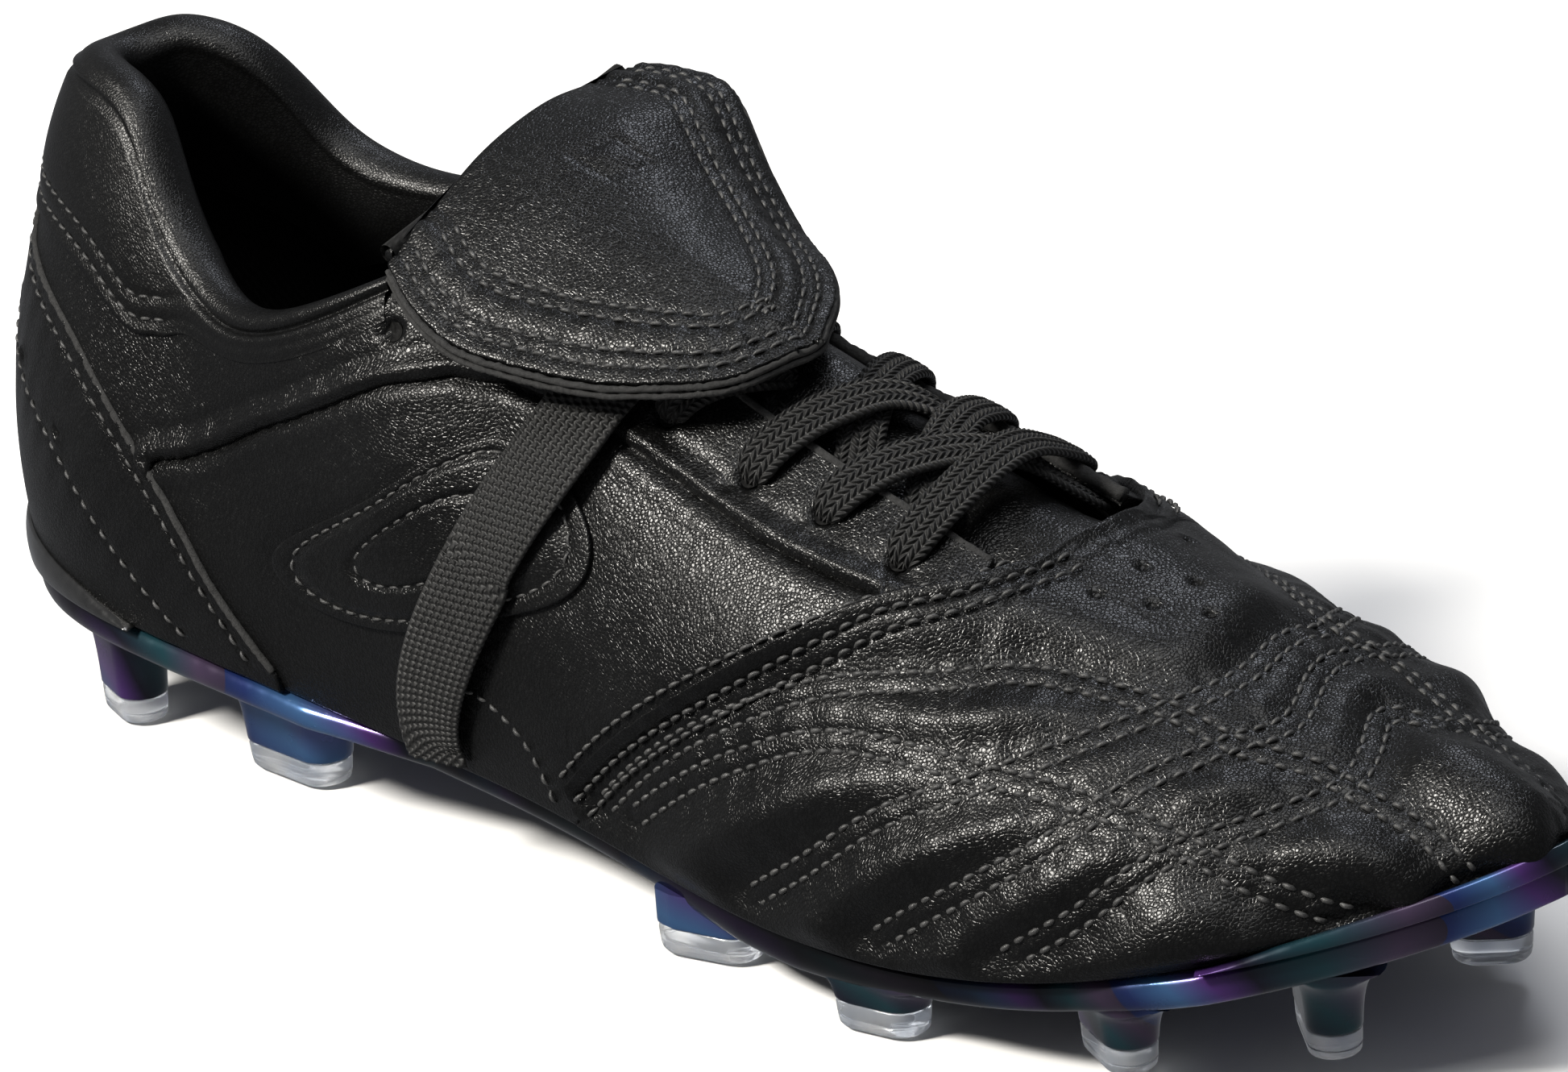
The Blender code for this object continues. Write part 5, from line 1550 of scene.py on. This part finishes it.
def footprint(name, s, top, bottom, outward, look, relief=None, edge_round=1.6, cols=60):
    """A smooth solid with the shoe's outline, between two heights over the feather edge."""
    left, right = feather_point(-1, s, outward), feather_point(1, s, outward)
    top, bottom = np.broadcast_to(top, s.shape), np.broadcast_to(bottom, s.shape)
    width = np.linalg.norm(right - left, axis=-1)
    turns = np.linspace(0, math.pi, 12)
    tall = (top - bottom) / 2
    round_by = np.minimum(edge_round, width * 0.2)
    inset = round_by[:, None] * (1 - np.sin(turns))
    high = ((top + bottom) / 2)[:, None] + tall[:, None] * np.cos(turns)
    share_in = inset / np.maximum(width, 1e-6)[:, None]
    flat = np.linspace(0, 1, cols)[None]
    first, last = share_in[:, -1:], 1 - share_in[:, -1:]
    across_low = first + (last - first) * flat[:, 1:-1]
    across_high = last + (share_in[:, :1] - last) * flat[:, 1:-1]
    share = np.concatenate((share_in, across_low, 1 - share_in[:, ::-1], across_high), 1)
    z_low = np.repeat(bottom[:, None], cols - 2, 1)
    z_top = np.repeat(top[:, None], cols - 2, 1)
    z = np.concatenate((high, z_low, high[:, ::-1], z_top), 1)
    points = left[:, None] + (right - left)[:, None] * share[..., None]
    points[..., 2] += z
    if relief is not None:
        block = slice(len(turns), len(turns) + cols - 2)
        points[:, block, 2] += relief(points[:, block], across_low, s[:, None], width[:, None])
    count = points.shape[1]
    faces = grid_faces(len(s), count, wrap=True)
    faces += end_caps(len(s), count)
    return new_object(name, points.reshape(-1, 3), faces, look, weld=0.001)


def plate_relief(points, share, s, width):
    """Underside: a raised rim, a recessed field and low ribs that fan out from the arch."""
    inset = np.minimum(share, 1 - share) * width
    field = 1 / (1 + np.exp(-(inset - 8.0) / 0.7))
    x, y = points[..., 0], points[..., 1]
    spine = np.exp(-(((y - 1.0) / 2.2) ** 2)) * np.clip((150 - np.abs(s - 125)) / 30 - 2.6, 0, 1)
    beams = np.exp(-(((np.abs(y - 1.0) - 10.5) / 1.6) ** 2)) * np.exp(-(((s - 112) / 34) ** 4))
    chevron = np.sin((x - 0.9 * np.abs(y)) / 9.0 * 2 * math.pi)
    ribs = np.clip(chevron - 0.45, 0, 1) * np.clip((s - 175) / 20, 0, 1) * np.clip((262 - s) / 10, 0, 1)
    return field * (1.8 - 1.5 * np.maximum(spine, beams) - 1.1 * ribs)


def plate():
    count = detail(330, 180)
    keys = np.linspace(0.6, float(key_of(-1, 284.6)), count)
    s = np.interp(keys, KEYS[: TOE_ROW + 1], ROWS[: TOE_ROW + 1, 0])
    made = footprint("outsole_plate_shell", s, -0.3, edge(PLATE_DEPTH, s), edge(PLATE_LIP, s), PLATE,
                     plate_relief,
                     edge_round=2.2, cols=70)
    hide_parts("outsole_plate")
    inner = s[(s > 16) & (s < 257)]
    margin = edge(((0, -4.4), (85, -4.4), (98, -2.8), (240, -2.8), (285, -4.4)), inner)
    board = footprint("sockliner_cloth", inner, 6.0, 2.4, margin, LINING, edge_round=1.5)
    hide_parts("sockliner")


def oblong(length, width, steps):
    """An oblong with round ends, as corners in plan."""
    radius, straight = width / 2, (length - width) / 2
    corners = []
    for centre, start in ((straight, -90), (-straight, 90)):
        for i in range(steps + 1):
            angle = math.radians(start + 180 * i / steps)
            corners.append((centre + radius * math.cos(angle), radius * math.sin(angle)))
    return np.array(corners)


def stud_body(x, y, yaw, length, width, levels, steps=14):
    """A closed turned-like body: levels are (z, growth, added width), from the bottom up."""
    turn = math.radians(yaw)
    rows = []
    for z, grow, added in levels:
        plan = oblong(max(length * grow + added, 0.2), max(width * grow + added, 0.1), steps)
        across_x = x + plan[:, 0] * math.cos(turn) - plan[:, 1] * math.sin(turn)
        across_y = y + plan[:, 0] * math.sin(turn) + plan[:, 1] * math.cos(turn)
        lateral = np.interp(across_x, [r[0] for r in LATERAL], [r[1] for r in LATERAL]) + 2.2
        medial = np.interp(across_x, [r[0] for r in MEDIAL], [r[1] for r in MEDIAL]) - 2.2
        across_y = np.clip(across_y, lateral, medial)
        rows.append(np.column_stack((across_x, across_y, np.full(len(plan), z))))
    count = len(rows[0])
    faces = grid_faces(len(rows), count, wrap=True)
    faces += [tuple(range(count)), tuple((len(rows) - 1) * count + j for j in range(count))[::-1]]
    return np.vstack(rows), [f[::-1] for f in faces]


def studs():
    feather_x, feather_z = [r[0] for r in LATERAL], [r[2] for r in LATERAL]
    for name, x, y, ground, length, width, yaw in STUDS:
        top = float(np.interp(x, feather_x, feather_z)) - 3.6
        low = ground + TIP_HEIGHT + 0.15
        shares = np.linspace(0, 1, 16)
        levels = [(low, 0.955, 0), (low + 0.12, 0.985, 0)]
        flare = 0.0 if name == "arch_lateral" else 1.0
        levels += [(low + 0.3 + (top - low - 0.3) * h, 1 + flare * (0.12 * h + 0.20 * h**2 + 0.45 * h**5), 0)
                   for h in shares]
        stem = join_shapes(f"stud_{name}", [stud_body(x, y, yaw, length, width, levels)], STUD)
        stem.data.set_sharp_from_angle(angle=math.radians(50))
        tip_levels = [(ground, 0.80, 0), (ground + 0.15, 0.86, 0), (ground + 0.55, 0.92, 0),
                      (ground + 1.5, 0.95, 0),
                      (ground + 1.62, 0.925, 0), (ground + 1.78, 0.925, 0), (ground + 1.9, 0.955, 0),
                      (ground + 3.5, 0.975, 0), (ground + 3.9, 0.96, 0), (ground + TIP_HEIGHT, 0.93, 0)]
        tip = join_shapes(f"stud_tip_{name}_clear", [stud_body(x, y, yaw, length, width, tip_levels)], CLEAR)
        tip.data.set_sharp_from_angle(angle=math.radians(40))
        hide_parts(f"stud_tip_{name}")


def lip(name, side, s, height, look, node, thick=1.6, start=0.6):
    """A thin moulded wall that stands up round the outside of the upper."""
    rows = []
    for share in np.linspace(0, 1, 14):
        t = 0.004 + (height - 0.004) * share
        rows.append((t, start + thick * (1 - share**2.5 * 0.75)))
    outer = [skin(s, np.where(side < 0, t, 2 - t), off + 0 * s)[0] for t, off in rows]
    inner = [skin(s, np.where(side < 0, t, 2 - t), 0.25 + 0 * s)[0] for t, off in rows[::-1]]
    points = np.stack(outer + inner, 1)
    count = points.shape[1]
    faces = grid_faces(len(s), count, wrap=True)
    faces += end_caps(len(s), count)
    made = new_object(name, points.reshape(-1, 3), faces, look)
    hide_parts(node)
    return made


def rims():
    side, s = around_heel(42, 1.2)
    height = 0.006 + 0.056 * np.clip(1 - (s / 42) ** 1.6, 0, 1)
    cup = lip("heel_cup_shell", side, s, height, CUP, "heel_cup", thick=1.5)
    one = even_stations(-1, 250, TOE, 1.0)
    s = np.concatenate((one, one[::-1][1:]))
    side = np.concatenate((-np.ones(len(one)), np.ones(len(one) - 1)))
    height = 0.006 + 0.10 * np.clip((s - 250) / 35, 0, 1) ** 1.2
    rim = lip("toe_rim_shell", side, s, height, PLATE, "toe_rim", thick=1.3)


# ------------------------------------------------------------------ carried-over nodes and stage

def dress_hidden_nodes():
    """Looks of the inner pieces, which keep their CAD shape."""
    fibre, stiff = fibre_look("insole_fibre", 0.02, 0.12), fibre_look("stiffener_fibre", 0.30, 0.02)
    foam = foam_look("grey_foam_cells")
    looks = {"insole_board": fibre, "heel_counter": stiff, "toe_puff": stiff, "vamp_foam": foam,
             "collar_foam": foam, "vamp_lining": LINING}
    for name, look in looks.items():
        node = bpy.data.objects[frame_name(name)]
        for slot in node.material_slots:
            slot.material = look


def frame_name(node):
    return frame["nodes"][node].name if hasattr(frame["nodes"][node], "name") else node


# The photo's camera, fitted to points seen in it: it looks at a target in the shoe's frame, in mm.
CAMERA_ANGLES = (43.227, 21.907, -4.453)  # azimuth, elevation and roll, in degrees
CAMERA_TARGET, CAMERA_SHIFT = (142, 0, 45), (2.647, 2.341)
CAMERA_DISTANCE, CAMERA_LENS = 1391.09, 222.75


def camera():
    """Three-quarter view from the toe's lateral side, a little above the shoe."""
    azimuth, elevation, roll = (math.radians(a) for a in CAMERA_ANGLES)
    back = np.array((math.sin(azimuth) * math.cos(elevation), -math.cos(azimuth) * math.cos(elevation),
                     math.sin(elevation)))
    right = np.array((math.cos(azimuth), math.sin(azimuth), 0))
    up = np.cross(back, right)
    across = math.cos(roll) * right + math.sin(roll) * up
    upward = -math.sin(roll) * right + math.cos(roll) * up
    spot = (np.array(CAMERA_TARGET) + across * CAMERA_SHIFT[0] + upward * CAMERA_SHIFT[1]
            + back * CAMERA_DISTANCE)
    data = bpy.data.cameras.new("camera")
    data.lens, data.sensor_width = CAMERA_LENS, 36
    data.clip_end = 50
    seen = bpy.data.objects.new("camera", data)
    bpy.context.scene.collection.objects.link(seen)
    turn = Matrix([list(across), list(upward), list(back)]).transposed()
    seen.matrix_world = Matrix.Translation(Vector(row(spot))) @ turn.to_4x4()
    bpy.context.scene.camera = seen


def area_light(name, azimuth, elevation, distance_m, size, watts, tint=(1, 1, 1)):
    data = bpy.data.lights.new(name, "AREA")
    data.shape, data.size, data.size_y = "RECTANGLE", size[0], size[1]
    data.energy, data.color = watts, tint
    made = bpy.data.objects.new(name, data)
    a, e = math.radians(azimuth), math.radians(elevation)
    spot = Vector((math.sin(a) * math.cos(e), -math.cos(a) * math.cos(e), math.sin(e))) * distance_m
    made.location = spot + Vector((0, 0, 0.05))
    made.rotation_euler = (made.location - Vector((0, 0, 0.05))).to_track_quat("Z", "Y").to_euler()
    bpy.context.scene.collection.objects.link(made)


def studio():
    look = Look("studio_floor", Specular_IOR_Level=0.2)
    grain = look.noise(3, 2)
    look.colour(look.ramp(grain, ((0.0, grey(0.66)), (1.0, grey(0.68)))))
    look.rough(look.span(grain, 0, 1, 0.7, 0.8))
    bpy.ops.mesh.primitive_plane_add(size=40, location=(0, 0, -0.0004))
    floor = bpy.context.object
    floor.name = "studio_floor"
    floor.data.materials.append(look.material)
    floor.visible_glossy = False
    world = bpy.data.worlds.new("studio")
    bpy.context.scene.world = world
    world.use_nodes = True
    world.node_tree.nodes["Background"].inputs[0].default_value = (0.93, 0.95, 1.0, 1)
    world.node_tree.nodes["Background"].inputs[1].default_value = 0.22
    area_light("key", -26, 42, 1.3, (0.30, 0.22), 42, (1.0, 0.965, 0.90))
    area_light("back", 203, 50, 1.3, (0.30, 0.25), 3.5, (0.86, 0.90, 1.0))
    area_light("fill", 60, 76, 1.5, (0.9, 0.9), 15)
    bpy.context.scene.view_settings.view_transform = "Standard"


def build():
    camera()
    vamp()
    vamp_stitches()
    for side, word in ((-1, "lateral"), (1, "medial")):
        quarter(side, word)
        eyestay(side, word)
        overlay(side, word)
        strap(side, word)
    backstay()
    collar()
    inner_lining()
    tongue()
    flap()
    for name, spots in STRANDS.items():
        lace(name, spots)
    keeper()
    plate()
    studs()
    rims()
    dress_hidden_nodes()
    studio()


build()
